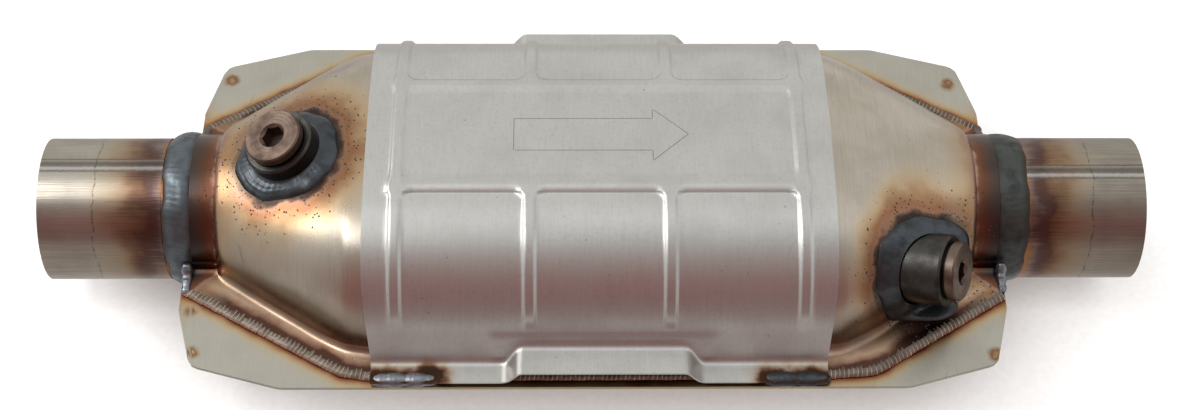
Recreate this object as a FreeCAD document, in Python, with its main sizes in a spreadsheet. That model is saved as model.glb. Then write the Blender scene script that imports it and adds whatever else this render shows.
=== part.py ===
"""Catalytic converter: two stamped shell halves welded at a seam, with pipes, sensor bosses and a heat shield.

Frame: +X runs from the inlet pipe to the outlet pipe, +Y away from the near side and +Z up.
The origin is under the middle of the converter, on the surface that it stands on.
Lengths are in millimetres and angles in degrees.
"""
import FreeCAD, Part

import math
import os

import Sketcher

V = FreeCAD.Vector
Turn = FreeCAD.Rotation

# Driving dimensions: alias, value, what it is
SIZES = (
    ("overall_length", 438.0, "from pipe end to pipe end"),
    ("pipe_diameter", 57.15, "outside of both pipe stubs"),
    ("pipe_wall", 1.6, "sheet of the pipe stubs"),
    ("pipe_insertion", 9.0, "length of each pipe inside its neck"),
    ("pipe_clearance", 0.15, "round gap between the pipe's full size and its neck"),
    ("pipe_sizing", 0.4, "how much each pipe is drawn down, on its radius, inside its neck and weld"),
    ("shell_wall", 1.5, "sheet of both shell halves"),
    ("inlet_neck_end", 159.3, "from the middle to the end of the inlet neck"),
    ("outlet_neck_end", 160.4, "from the middle to the end of the outlet neck"),
    ("inlet_crease", 149.5, "from the middle to the crease where the inlet neck turns into its cone"),
    ("outlet_crease", 151.3, "from the middle to the crease where the outlet neck turns into its cone"),
    ("body_station", 88.0, "from the middle to where cone turns into body"),
    ("body_half_width", 69.4, "oval body, across the seam"),
    ("body_half_height", 45.7, "oval body, above the seam"),
    ("body_side_radius", 43.7, "round sides of the oval body"),
    ("body_side_level", 0.25, "height of the round sides' centre above the seam"),
    ("body_wall_run", 4.3, "straight stretch of the wall above its foot, on the body"),
    ("neck_side_radius", 27.0, "round sides of the shell where the cone begins"),
    ("neck_wall_run", 0.8, "straight stretch of the wall above its foot, on the neck"),
    ("foot_radius", 4.0, "bend between wall and flange"),
    ("foot_sink", 0.1, "how far the foot's bend runs into the flange"),
    ("seam_neck_half", 40.5, "upper flange, half width at the necks"),
    ("seam_corner_station", 97.0, "upper flange, where its edge turns along the body"),
    ("seam_corner_half", 77.8, "upper flange, half width at that turn"),
    ("seam_body_station", 87.0, "upper flange, where its edge runs straight"),
    ("seam_half_width", 79.3, "upper flange, half width along the body"),
    ("wide_neck_half", 43.2, "upper flange beside the outlet neck on the near side, half width"),
    ("wide_corner_station", 107.5, "upper flange, where its edge turns towards the outlet on the near side"),
    ("wide_corner_half", 77.6, "upper flange, half width at that turn"),
    ("flange_half_width", 85.5, "lower flange, half width"),
    ("flange_shoulder_station", 121.0, "lower flange, where its wings begin to taper"),
    ("wing_end", 163.0, "lower flange, from the middle to the wing tips"),
    ("wing_inner_half", 36.0, "wing tip, inner corner from the centre plane"),
    ("wing_outer_half", 50.0, "wing tip, outer corner from the centre plane"),
    ("wing_corner_station", 156.4, "wing corner, from the middle"),
    ("wing_corner_half", 75.2, "wing corner, from the centre plane"),
    ("wing_corner_radius", 6.0, "round on each wing corner"),
    ("belly_rib_height", 1.2, "stiffening ribs pressed into the lower shell"),
    ("belly_rib_width", 14.0, "width of each stiffening rib"),
    ("belly_rib_pitch", 46.0, "from one stiffening rib to the next"),
    ("bead_half_width", 2.8, "seam weld, outwards from the upper flange's edge"),
    ("bead_overlap", 2.4, "seam weld, inwards over the upper flange"),
    ("bead_height", 2.0, "seam weld, above the seam"),
    ("bead_round", 0.7, "round on the seam weld's top edges"),
    ("collar_weld_width", 11.0, "weld round each pipe at its neck"),
    ("inlet_collar_radius", 31.2, "crown of the weld round the inlet pipe"),
    ("outlet_collar_radius", 30.0, "crown of the weld round the outlet pipe"),
    ("corner_weld_length", 11.0, "short weld beside each neck"),
    ("corner_weld_height", 2.4, "short weld beside each neck, above the seam"),
    ("weld_clearance", 0.1, "gap kept between a weld's solid and the next part"),
    ("boss_diameter", 28.0, "outside of both sensor bosses"),
    ("boss_bore", 16.4, "thread core of both sensor bosses"),
    ("boss_chamfer", 0.8, "chamfer on a boss's outer rim"),
    ("boss_clearance", 0.15, "round gap between boss and shell"),
    ("boss_weld_width", 6.8, "weld round each boss, outwards from the boss"),
    ("boss_weld_height", 2.4, "weld round each boss, above the shell"),
    ("inlet_boss_station", 119.2, "inlet boss seat, from the middle"),
    ("inlet_boss_side", 3.0, "inlet boss seat, from the centre plane to the near side"),
    ("inlet_boss_lean", 19.5, "inlet boss, lean towards the inlet"),
    ("inlet_boss_roll", 7.5, "inlet boss, lean towards the near side"),
    ("inlet_boss_reach", 10.5, "inlet boss, height of its rim above the seat"),
    ("outlet_boss_station", 128.0, "outlet boss seat, from the middle"),
    ("outlet_boss_width_share", 0.890, "outlet boss seat, share of the cone's half width"),
    ("outlet_boss_height_share", 0.494, "outlet boss seat, share of the cone's half height"),
    ("outlet_boss_rise", 20.3, "outlet boss, upward slope of its axis"),
    ("outlet_boss_swing", 23.1, "outlet boss, turn of its axis to the near side"),
    ("outlet_boss_reach", 11.5, "outlet boss, length of its rim beyond the seat"),
    ("boss_inside", 13.0, "length of a boss inwards from its seat"),
    ("plug_collar_diameter", 23.0, "screw plug's round head"),
    ("plug_collar_height", 3.6, "screw plug's round head"),
    ("plug_thread_diameter", 16.2, "screw plug's thread core"),
    ("plug_thread_length", 12.0, "screw plug below its head"),
    ("plug_socket_width", 8.0, "hexagon socket, across flats"),
    ("plug_socket_depth", 6.5, "hexagon socket"),
    ("plug_socket_bevel", 10.5, "round bevel at the socket's mouth"),
    ("plug_rim_chamfer", 0.6, "chamfer on the head's rim"),
    ("washer_diameter", 20.5, "sealing ring under the plug's head"),
    ("washer_height", 1.1, "sealing ring"),
    ("shield_thickness", 0.8, "sheet of the heat shield"),
    ("shield_centre", 1.85, "middle of the heat shield, towards the outlet"),
    ("shield_length", 180.7, "heat shield along the pipes"),
    ("shield_half_width", 73.2, "heat shield's round sides, at their widest"),
    ("shield_half_height", 49.5, "heat shield's crown above the seam"),
    ("shield_side_radius", 47.5, "heat shield's round sides"),
    ("shield_side_level", 0.25, "height of the round sides' centre above the seam"),
    ("shield_wall_level", 16.0, "height above the seam where a round side turns into a straight wall"),
    ("shield_foot_half", 78.0, "where the bend at the wall's foot ends, from the centre plane"),
    ("shield_trim_level", 34.0, "the shield's ends slant inwards below this height above the seam"),
    ("shield_foot_radius", 3.0, "bend between the shield's wall and its skirt"),
    ("skirt_underside", 2.1, "skirt's underside above the seam"),
    ("skirt_half_width", 85.2, "edge of the skirt from the centre plane"),
    ("skirt_setback", 2.5, "skirt ends, inwards from the shield's ends"),
    ("tunnel_centre", 3.3, "middle of the raised part of each skirt"),
    ("tunnel_top_half", 32.7, "raised part, half length of its flat top"),
    ("tunnel_foot_half", 39.2, "raised part, half length at its foot"),
    ("tunnel_height", 10.0, "raised part, top above the seam"),
    ("rib_height", 1.25, "pressed ribs of the shield"),
    ("rib_width", 6.0, "pressed ribs of the shield, at their foot"),
    ("rib_crown_width", 2.8, "pressed ribs of the shield, at their crown"),
    ("rib_fade_level", 22.0, "cross ribs fade out below this height above the seam"),
    ("end_rib_station", 78.0, "end ribs, from the shield's middle"),
    ("side_rib_station", 26.9, "side ribs, from the shield's middle"),
    ("long_rib_side", 25.3, "lengthwise ribs, from the centre plane"),
    ("tack_length", 27.0, "tack weld between skirt and flange"),
    ("tack_half_width", 3.3, "tack weld"),
    ("tack_height", 2.6, "tack weld above its centre"),
    ("tack_level", 1.3, "tack weld's centre above the seam"),
    ("tack_side", 82.9, "tack weld's centre from the centre plane"),
    ("near_inlet_tack", 73.0, "tack weld's centre towards the inlet, near side"),
    ("near_outlet_tack", 77.5, "tack weld's centre towards the outlet, near side"),
    ("far_inlet_tack", 73.5, "tack weld's centre towards the inlet, far side"),
    ("far_outlet_tack", 77.5, "tack weld's centre towards the outlet, far side"),
    ("monolith_length", 74.0, "each ceramic block"),
    ("monolith_gap", 14.0, "gap between the two blocks"),
    ("mat_thickness", 4.5, "support mat round each block"),
    ("mat_setback", 7.0, "mat ends, inwards from a block's ends"),
    ("mat_clearance", 0.15, "gap between mat and shell"),
    ("seal_length", 5.5, "mesh ring beside each mat"),
    ("seal_clearance", 0.3, "gap between mesh ring and mat"),
)

# The cone's shape: share of the way from crease to body, then shares of its growth in width and height
CONE_STATIONS = (
    (0.012, 0.045, 0.06),
    (0.035, 0.100, 0.135),
    (0.070, 0.150, 0.185),
    (0.120, 0.205, 0.240),
    (0.480, 0.590, 0.610),
    (0.800, 0.909, 0.915),
    (0.890, 0.970, 0.972),
    (1.000, 1.000, 1.000),
)
STRAIGHT_START = 3
STRAIGHT_END = 5

NEAR = -1
FAR = 1
INLET = -1
OUTLET = 1


class Size:
    """A length that keeps its number together with the spreadsheet expression behind it."""

    def __init__(self, value, text=None):
        self.value = float(value)
        self.text = text if text is not None else repr(float(value))

    def _join(self, other, sign, value):
        return Size(value, "({} {} {})".format(self.text, sign, other.text))

    def __add__(self, other):
        other = as_size(other)
        return self._join(other, "+", self.value + other.value)

    def __radd__(self, other):
        return as_size(other) + self

    def __sub__(self, other):
        other = as_size(other)
        return self._join(other, "-", self.value - other.value)

    def __rsub__(self, other):
        return as_size(other) - self

    def __mul__(self, other):
        other = as_size(other)
        return self._join(other, "*", self.value * other.value)

    def __rmul__(self, other):
        return as_size(other) * self

    def __truediv__(self, other):
        other = as_size(other)
        return self._join(other, "/", self.value / other.value)

    def __neg__(self):
        return Size(-self.value, "(-1 * {})".format(self.text))


def as_size(number):
    """Return a plain number as a Size, and a Size as it is."""
    return number if isinstance(number, Size) else Size(number)


class Sheet:
    """The spreadsheet of driving dimensions, read by alias as attributes."""

    def __init__(self, doc):
        self.cells = doc.addObject("Spreadsheet::Sheet", "Sizes")
        for row, (alias, value, note) in enumerate(SIZES, start=1):
            self.cells.set("A{}".format(row), alias)
            self.cells.set("B{}".format(row), str(value))
            self.cells.set("C{}".format(row), note)
            self.cells.setAlias("B{}".format(row), alias)
        doc.recompute()

    def __getattr__(self, alias):
        return Size(getattr(self.cells, alias), "Sizes." + alias)


doc = FreeCAD.newDocument("catalytic_converter")
size = Sheet(doc)
parts = []

# Values worked out from the driving dimensions
pipe_radius = size.pipe_diameter / 2
neck_radius = pipe_radius + size.pipe_clearance + size.shell_wall
seam_height = size.body_half_height + size.belly_rib_height
half_length = size.overall_length / 2
boss_radius = size.boss_diameter / 2
skirt_top = size.skirt_underside + size.shield_thickness
flange_thickness = size.shell_wall


def bind(thing, path, amount):
    """Set a property of an object from an expression on the sheet."""
    thing.setExpression(path, as_size(amount).text)


def lift(thing, across=0.0, along=0.0, up=0.0):
    """Place an object in the converter's frame, from a place measured on the seam plane."""
    bind(thing, "Placement.Base.x", as_size(along))
    bind(thing, "Placement.Base.y", as_size(across))
    bind(thing, "Placement.Base.z", seam_height + up)
    return thing


def finished(thing, label):
    """Name a sub-part and put it on the list of parts to write."""
    thing.Label = label
    parts.append(thing)
    return thing


def new_body(label, up=0.0, along=0.0, across=0.0, upside_down=False):
    """Start a PartDesign body on the seam plane, upside down for the lower shell."""
    body = doc.addObject("PartDesign::Body", label + "_body")
    if upside_down:
        body.Placement = FreeCAD.Placement(V(), Turn(V(1, 0, 0), 180))
    lift(body, up=up, along=along, across=across)
    return body


def origin_plane(body, role):
    return next(item for item in body.Origin.OriginFeatures if item.Role == role)


def new_sketch(body, label, role, station=0.0):
    """Attach a sketch to one of the body's own planes, moved along its normal by a station."""
    sketch = body.newObject("Sketcher::SketchObject", label)
    sketch.AttachmentSupport = (origin_plane(body, role), [""])
    sketch.MapMode = "FlatFace"
    bind(sketch, "AttachmentOffset.Base.z", station)
    return sketch


def add_named(sketch, label, amount, *row):
    """Add a dimension to a sketch under a name, and bind it to its expression."""
    constraint = Sketcher.Constraint(*row, amount.value)
    constraint.Name = label
    sketch.addConstraint(constraint)
    bind(sketch, "Constraints." + label, amount)


def pin_point(sketch, geometry, point, across, up, label):
    """Fix a point of a sketch at its distances from the sketch's origin, or one of them if the other is None."""
    for kind, amount, axis in (("DistanceX", across, -2), ("DistanceY", up, -1)):
        if amount is None:
            continue
        amount = as_size(amount)
        if amount.value == 0.0:
            sketch.addConstraint(Sketcher.Constraint("PointOnObject", geometry, point, axis))
        elif amount.value < 0.0:
            add_named(sketch, "{}_{}".format(label, kind), -amount, kind, geometry, point, -1, 1)
        else:
            add_named(sketch, "{}_{}".format(label, kind), amount, kind, -1, 1, geometry, point)


def set_length(sketch, kind, geometry, amount, label):
    """Fix a radius or a line's length from an expression."""
    add_named(sketch, label, amount, kind, geometry)


def add_all(sketch, rows):
    sketch.addConstraint([Sketcher.Constraint(*row) for row in rows])


def arc(centre, radius, start, end):
    return Part.ArcOfCircle(Part.Circle(centre, V(0, 0, 1), radius), start, end)


def polygon(body, label, role, corners, station=0.0):
    """Draw a closed polygon whose every corner is bound to the sheet."""
    sketch = new_sketch(body, label, role, station)
    spots = [V(as_size(across).value, as_size(up).value, 0) for across, up in corners]
    count = len(spots)
    for index in range(count):
        sketch.addGeometry(Part.LineSegment(spots[index], spots[(index + 1) % count]), False)
    for index in range(count):
        add_all(sketch, [("Coincident", index, 2, (index + 1) % count, 1)])
    for index, (across, up) in enumerate(corners):
        pin_point(sketch, index, 1, across, up, "corner_{}".format(index))
    return sketch


class Arch:
    """The outline of a pressed half shell: crown, round sides, straight walls and feet on a flange."""

    # Where a round outline's side arc meets its crown, as a share of its radius from the centre plane
    ROUND_JOINT = 0.94

    def __init__(self, half_width, half_height, side_radius, side_level, wall_run, foot_radius, base_level):
        self.half_width = half_width
        self.half_height = half_height
        self.side_radius = side_radius
        self.side_level = as_size(side_level)
        self.wall_run = wall_run
        self.foot_radius = foot_radius
        self.base_level = as_size(base_level)

    def is_round(self):
        return abs(self.half_width.value - self.side_radius.value) < 1e-9

    def grown(self, amount, base_level=None):
        """Return the outline moved outwards by an amount, with every arc about the same centre."""
        return Arch(self.half_width + amount, self.half_height + amount, self.side_radius + amount,
                    self.side_level, self.wall_run, self.foot_radius - amount,
                    self.base_level if base_level is None else base_level)

    def crown_radius(self):
        rise = self.half_height - self.side_level
        reach = self.half_width - self.side_radius
        spread = rise * rise + reach * reach - self.side_radius * self.side_radius
        return spread / (2 * (rise - self.side_radius))

    def draw(self, body, label, station):
        """Draw the outline as a closed sketch across the pipes' axis."""
        sketch = new_sketch(body, label, "YZ_Plane", station)
        reach = (self.half_width - self.side_radius).value
        level = self.side_level.value
        side = self.side_radius.value
        foot = self.foot_radius.value
        base = self.base_level.value
        crown = side if self.is_round() else self.crown_radius().value
        crown_centre = self.half_height.value - crown
        # The wall's lean makes the straight run end on the foot's bend
        across = side + foot
        lean = math.asin((base + foot - level) / math.hypot(across, self.wall_run.value))
        lean += math.atan2(self.wall_run.value, across)
        turn = math.acos(self.ROUND_JOINT) if self.is_round() else math.atan2(level - crown_centre, reach)
        wall_top = V(reach + side * math.cos(lean), level + side * math.sin(lean), 0)
        wall_foot = wall_top + V(math.sin(lean), -math.cos(lean), 0) * self.wall_run.value
        foot_centre = wall_foot + V(math.cos(lean), math.sin(lean), 0) * foot

        def mirrored(point):
            return V(-point.x, point.y, 0)

        sketch.addGeometry([
            Part.LineSegment(V(-foot_centre.x, base, 0), V(foot_centre.x, base, 0)),
            arc(foot_centre, foot, math.pi + lean, 1.5 * math.pi),
            Part.LineSegment(wall_foot, wall_top),
            arc(V(reach, level, 0), side, lean, turn),
            arc(V(0, crown_centre, 0), crown, turn, math.pi / 2),
            arc(V(0, crown_centre, 0), crown, math.pi / 2, math.pi - turn),
            arc(V(-reach, level, 0), side, math.pi - turn, math.pi - lean),
            Part.LineSegment(mirrored(wall_top), mirrored(wall_foot)),
            arc(mirrored(foot_centre), foot, 1.5 * math.pi, 2 * math.pi - lean),
        ], False)
        add_all(sketch, [
            ("Coincident", 0, 2, 1, 2), ("Tangent", 1, 1, 2, 1), ("Tangent", 2, 2, 3, 1),
            ("Tangent", 6, 2, 7, 1), ("Tangent", 7, 2, 8, 2), ("Coincident", 8, 1, 0, 1),
            ("Horizontal", 0), ("Vertical", 1, 3, 1, 2), ("Vertical", 8, 3, 8, 1),
            ("Equal", 1, 8), ("Equal", 2, 7),
        ])
        if self.is_round():
            self.join_round(sketch)
        else:
            self.join_tangent(sketch)
        set_length(sketch, "Radius", 3, self.side_radius, "side_radius")
        set_length(sketch, "Radius", 1, self.foot_radius, "foot_radius")
        set_length(sketch, "Distance", 2, self.wall_run, "wall_run")
        pin_point(sketch, 0, 1, None, self.base_level, "base")
        return sketch

    def join_tangent(self, sketch):
        """Run the side arcs into the crown without a corner."""
        add_all(sketch, [
            ("Tangent", 3, 2, 4, 1), ("Tangent", 4, 2, 5, 1), ("Tangent", 5, 2, 6, 1),
            ("PointOnObject", 4, 3, -2), ("Equal", 3, 6), ("Horizontal", 3, 3, 6, 3),
        ])
        pin_point(sketch, 4, 2, 0.0, self.half_height, "crown")
        pin_point(sketch, 3, 3, self.half_width - self.side_radius, self.side_level, "side_centre")

    def join_round(self, sketch):
        """Put every arc of a round outline on one circle about the pipes' axis."""
        add_all(sketch, [("Coincident", index, 3, -1, 1) for index in (3, 4, 5, 6)])
        add_all(sketch, [
            ("Coincident", 3, 2, 4, 1), ("Coincident", 4, 2, 5, 1), ("Coincident", 5, 2, 6, 1),
            ("PointOnObject", 4, 2, -2),
        ])
        joint = self.side_radius * self.ROUND_JOINT
        pin_point(sketch, 3, 2, joint, None, "joint")
        pin_point(sketch, 5, 2, -joint, None, "joint_2")


def blend(start, end, share):
    """Return the size that lies a share of the way from start to end."""
    return start + share * (end - start)


def neck_arch():
    """Return the shell's outline on a neck, half of a circle about the pipe."""
    return Arch(neck_radius, neck_radius, neck_radius, 0.0, size.neck_wall_run, size.foot_radius, size.shell_wall)


def shell_arch(width_share, height_share):
    """Return the shell's outline where the cone has grown by these shares."""
    return Arch(blend(neck_radius, size.body_half_width, width_share),
                blend(neck_radius, size.body_half_height, height_share),
                blend(size.neck_side_radius, size.body_side_radius, height_share),
                height_share * size.body_side_level,
                blend(size.neck_wall_run, size.body_wall_run, height_share),
                size.foot_radius, size.shell_wall)


def neck_end(end):
    """Return the distance from the middle to the end of a neck."""
    return size.inlet_neck_end if end == INLET else size.outlet_neck_end


def crease(end):
    """Return the distance from the middle to the crease between a neck and its cone."""
    return size.inlet_crease if end == INLET else size.outlet_crease


def cone_size_at(end, station, neck_size, body_size, column):
    """Return a cone's half width or half height on its straight stretch, at a distance from the middle."""
    start = CONE_STATIONS[STRAIGHT_START]
    stop = CONE_STATIONS[STRAIGHT_END]
    way = (crease(end) - station) / (crease(end) - size.body_station)
    share = start[column] + (way - start[0]) * ((stop[column] - start[column]) / (stop[0] - start[0]))
    return neck_size + share * (body_size - neck_size)


def pad(body, sketch, length, label):
    feature = body.newObject("PartDesign::Pad", label)
    feature.Profile = sketch
    bind(feature, "Length", length)
    return feature


def loft(body, sketches, label, straight=False):
    feature = body.newObject("PartDesign::AdditiveLoft", label)
    feature.Profile = sketches[0]
    feature.Sections = sketches[1:]
    feature.Ruled = straight
    return feature


def shell_form(label, growth, upside_down=False, ribs=False):
    """Make the solid under a half shell's surface, grown outwards or shrunk inwards from it.

    The cavity's cone starts a little nearer the body, which keeps the sheet's thickness on the slope.
    """
    body = new_body(label, upside_down=upside_down)
    stations = [(INLET * station, arch) for station, arch in cone_outlines(INLET, growth)]
    stations += belly_ribs(growth) if ribs else []
    stations += cone_outlines(OUTLET, growth)[::-1]
    base = size.shell_wall + growth - size.foot_sink
    sections = [arch.grown(growth, base).draw(body, "{}_{}".format(label, index), station)
                for index, (station, arch) in enumerate(stations)]
    loft(body, sections, label + "_loft", straight=True)
    return body


def cone_outlines(end, growth):
    """Return the outlines from the end of a neck to the body."""
    start = crease(end) + 0.5 * growth
    rows = [(neck_end(end), neck_arch()), (start, neck_arch())]
    for way, width_share, height_share in CONE_STATIONS:
        rows.append((blend(start, size.body_station, way), shell_arch(width_share, height_share)))
    return rows


def belly_ribs(growth):
    """Return the outlines of shallow ribs across the belly, which fade out towards the sides."""
    rows = []
    for number in (-1, 0, 1):
        for place, rise in ((-0.5, 0.0), (-0.25, 1.0), (0.25, 1.0), (0.5, 0.0)):
            arch = shell_arch(1.0, 1.0)
            arch.half_height = arch.half_height + rise * size.belly_rib_height
            rows.append((number * size.belly_rib_pitch + place * (size.belly_rib_width + growth), arch))
    return rows


def upper_edge(end, side):
    """Return the upper flange's corners in one quarter, from the neck to the body."""
    if (end, side) == (OUTLET, NEAR):
        return [(neck_end(end), size.wide_neck_half),
                (size.wide_corner_station, size.wide_corner_half),
                (size.seam_body_station, size.seam_half_width)]
    return [(neck_end(end), size.seam_neck_half),
            (size.seam_corner_station, size.seam_corner_half),
            (size.seam_body_station, size.seam_half_width)]


def lower_edge(end, side):
    """Return the lower flange's corners in one quarter, from the neck to the body."""
    return [(neck_end(end), neck_radius + 1.0),
            (size.wing_end, size.wing_inner_half),
            (size.wing_end, size.wing_outer_half),
            (size.wing_corner_station, size.wing_corner_half),
            (size.flange_shoulder_station, size.flange_half_width)]


def whole_outline(edge, upside_down):
    """Join the corners of the four quarters into one outline, seen from the side that it is drawn on."""
    flip = -1 if upside_down else 1
    corners = []
    for end, side in ((OUTLET, FAR), (INLET, FAR), (INLET, NEAR), (OUTLET, NEAR)):
        quarter = [(end * along, flip * side * across) for along, across in edge(end, side)]
        corners += quarter if end * side == 1 else quarter[::-1]
    return corners


def flange_plate(label, edge, upside_down=False, corner=None, radius=None):
    """Make a flange plate on the seam plane, with rounded wing corners where it has them."""
    body = new_body(label, upside_down=upside_down)
    sketch = polygon(body, label + "_outline", "XY_Plane", whole_outline(edge, upside_down))
    plate = pad(body, sketch, flange_thickness, label + "_pad")
    doc.recompute()
    if corner is not None:
        fillet = body.newObject("PartDesign::Fillet", label + "_corners")
        fillet.Base = (plate, upright_edges(plate.Shape, corner))
        bind(fillet, "Radius", radius)
        doc.recompute()
    return body


def upright_edges(shape, corner):
    """Name the upright edges that stand at a corner, in all four quadrants."""
    names = []
    for index, edge in enumerate(shape.Edges, start=1):
        ends = [vertex.Point for vertex in edge.Vertexes]
        upright = len(ends) == 2 and (ends[0] - ends[1]).cross(V(0, 0, 1)).Length < 1e-6
        if upright and math.hypot(abs(ends[0].x) - corner[0].value, abs(ends[0].y) - corner[1].value) < 0.01:
            names.append("Edge{}".format(index))
    return names


def level_edges(shape, level):
    """Name the edges that lie at a level."""
    names = []
    for index, edge in enumerate(shape.Edges, start=1):
        if all(abs(vertex.Point.z - level) < 1e-6 for vertex in edge.Vertexes):
            names.append("Edge{}".format(index))
    return names


def fuse(label, shapes):
    joined = doc.addObject("Part::MultiFuse", label)
    joined.Shapes = shapes
    joined.Refine = False
    return joined


def cut(label, base, tool):
    result = doc.addObject("Part::Cut", label)
    result.Base = base
    result.Tool = tool
    result.Refine = False
    return result


def common(label, first, second):
    result = doc.addObject("Part::Common", label)
    result.Base = first
    result.Tool = second
    result.Refine = False
    return result


class Seat:
    """A place on the cone where a sensor boss stands, with the direction that it points in."""

    def __init__(self, along, across, up, axis):
        self.along = as_size(along)
        self.across = as_size(across)
        self.up = as_size(up)
        self.axis = axis
        self.turn = Turn(V(0, 0, 1), V(*[share.value for share in axis]))

    def place(self, thing, distance=0.0):
        """Stand an object on the boss's axis, a distance outwards from the seat."""
        thing.Placement = FreeCAD.Placement(V(), self.turn)
        lift(thing, along=self.along + distance * self.axis[0], across=self.across + distance * self.axis[1],
             up=self.up + distance * self.axis[2])
        return thing

    def cylinder(self, label, radius, inner, outer):
        """Make a cylinder on the axis, between two distances from the seat."""
        rod = doc.addObject("Part::Cylinder", label)
        bind(rod, "Radius", radius)
        bind(rod, "Height", outer - inner)
        return self.place(rod, inner)


def cosine(angle):
    return Size(math.cos(math.radians(angle.value)), "cos({} * 1deg)".format(angle.text))


def sine(angle):
    return Size(math.sin(math.radians(angle.value)), "sin({} * 1deg)".format(angle.text))


def root(amount):
    return Size(math.sqrt(amount.value), "sqrt({})".format(amount.text))


def inlet_seat():
    """Return the inlet boss's seat on the crown of the inlet cone."""
    height = cone_size_at(INLET, size.inlet_boss_station, neck_radius, size.body_half_height, 2)
    lean = size.inlet_boss_lean
    roll = size.inlet_boss_roll
    axis = (-sine(lean) * cosine(roll), -sine(roll), cosine(lean) * cosine(roll))
    return Seat(-size.inlet_boss_station, -size.inlet_boss_side, height, axis)


def outlet_seat():
    """Return the outlet boss's seat on the near side of the outlet cone."""
    width = cone_size_at(OUTLET, size.outlet_boss_station, neck_radius, size.body_half_width, 1)
    height = cone_size_at(OUTLET, size.outlet_boss_station, neck_radius, size.body_half_height, 2)
    rise = size.outlet_boss_rise
    swing = size.outlet_boss_swing
    axis = (cosine(rise) * cosine(swing), -cosine(rise) * sine(swing), sine(rise))
    return Seat(size.outlet_boss_station, -width * size.outlet_boss_width_share,
                height * size.outlet_boss_height_share, axis)


def shells(seats):
    """Press the upper and the lower shell out of sheet, with flanges, ribs and holes for the bosses."""
    upper_flange = flange_plate("upper_flange", upper_edge)
    upper_blank = fuse("upper_blank", [shell_form("upper_form", 0.0 * size.shell_wall), upper_flange])
    holes = [seat.cylinder("boss_hole_{}".format(index), boss_radius + size.boss_clearance,
                           -size.boss_inside - 10.0, size.outlet_boss_reach + 10.0)
             for index, seat in enumerate(seats)]
    hollow = fuse("upper_hollow", [shell_form("upper_cavity", -size.shell_wall)] + holes)
    finished(cut("upper_shell_cut", upper_blank, hollow), "upper_shell")

    lower_flange = flange_plate("lower_flange", lower_edge, upside_down=True,
                                corner=(size.wing_corner_station, size.wing_corner_half),
                                radius=size.wing_corner_radius)
    lower_form = shell_form("lower_form", 0.0 * size.shell_wall, upside_down=True, ribs=True)
    lower_blank = fuse("lower_blank", [lower_form, lower_flange])
    lower_hollow = shell_form("lower_cavity", -size.shell_wall, upside_down=True, ribs=True)
    finished(cut("lower_shell_cut", lower_blank, lower_hollow), "lower_shell")
    return upper_flange, upper_blank, lower_flange


def seam_weld(side, upper_flange):
    """Lay the seam weld over the upper flange's edge, from the inlet neck to the outlet neck."""
    label = "near_seam_weld" if side == NEAR else "far_seam_weld"
    body = new_body(label)
    outer = []
    inner = []
    for end in (INLET, OUTLET):
        edge = upper_edge(end, side)
        for along, across in edge if end == INLET else edge[::-1]:
            outer.append((end * along, side * (across + size.bead_half_width)))
            inner.append((end * along, side * (across - size.bead_overlap)))
    sketch = polygon(body, label + "_outline", "XY_Plane", outer + inner[::-1])
    bead = pad(body, sketch, size.bead_height, label + "_pad")
    doc.recompute()
    crown = body.newObject("PartDesign::Fillet", label + "_crown")
    crown.Base = (bead, level_edges(bead.Shape, size.bead_height.value))
    bind(crown, "Radius", size.bead_round)
    doc.recompute()
    return finished(cut(label + "_cut", body, upper_flange), label)


def corner_weld(end, side):
    """Make the short weld that closes the corner between a neck and its flanges."""
    label = "{}_{}_corner_weld".format("inlet" if end == INLET else "outlet", "near" if side == NEAR else "far")
    body = new_body(label)
    start = end * (neck_end(end) + size.weld_clearance)
    stop = end * (size.wing_end - size.weld_clearance)
    inner = side * (size.inlet_collar_radius + 2 * size.weld_clearance)
    outer = side * (size.inlet_collar_radius + size.corner_weld_length)
    sketch = polygon(body, label + "_outline", "XY_Plane",
                     [(start, inner), (stop, inner), (stop, outer), (start, outer)])
    bead = pad(body, sketch, size.corner_weld_height, label + "_pad")
    doc.recompute()
    crown = body.newObject("PartDesign::Fillet", label + "_crown")
    crown.Base = (bead, level_edges(bead.Shape, size.corner_weld_height.value))
    bind(crown, "Radius", size.bead_round)
    return finished(body, label)


def turned(label, outline, up=0.0):
    """Turn a closed outline of distance along X and radius about the pipes' axis."""
    body = new_body(label, up=up)
    sketch = polygon(body, label + "_profile", "XZ_Plane", outline)
    feature = body.newObject("PartDesign::Revolution", label + "_turn")
    feature.Profile = sketch
    feature.ReferenceAxis = (sketch, ["H_Axis"])
    feature.Angle = 360
    return body


def pipe(end):
    """Make a pipe stub, drawn down a little where it sits in its neck and weld."""
    label = "inlet_pipe" if end == INLET else "outlet_pipe"
    start = end * (neck_end(end) - size.pipe_insertion)
    shoulder = end * (neck_end(end) + size.weld_clearance + size.collar_weld_width)
    stop = end * half_length
    bore = pipe_radius - size.pipe_wall
    drawn = pipe_radius - size.pipe_sizing
    body = turned(label, [(start, bore), (stop, bore), (stop, pipe_radius), (shoulder, pipe_radius),
                          (shoulder, drawn), (start, drawn)])
    return finished(body, label)


def collar_weld(end):
    """Make the weld that runs round a pipe against the end of its neck."""
    label = "inlet_pipe_weld" if end == INLET else "outlet_pipe_weld"
    width = size.collar_weld_width
    rise = (size.inlet_collar_radius if end == INLET else size.outlet_collar_radius) - pipe_radius
    seat = neck_end(end) + 0.5 * size.weld_clearance
    foot = pipe_radius - size.pipe_sizing + 0.3 * size.weld_clearance
    heights = ((0.0, 0.75), (0.18, 0.96), (0.36, 1.0), (0.62, 0.8), (0.85, 0.4), (1.0, 0.08))
    crown = [(end * (seat + share * width), pipe_radius + height * rise) for share, height in heights]
    body = turned(label, [(end * seat, foot)] + crown + [(end * (seat + width), foot)])
    return finished(body, label)


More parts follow.
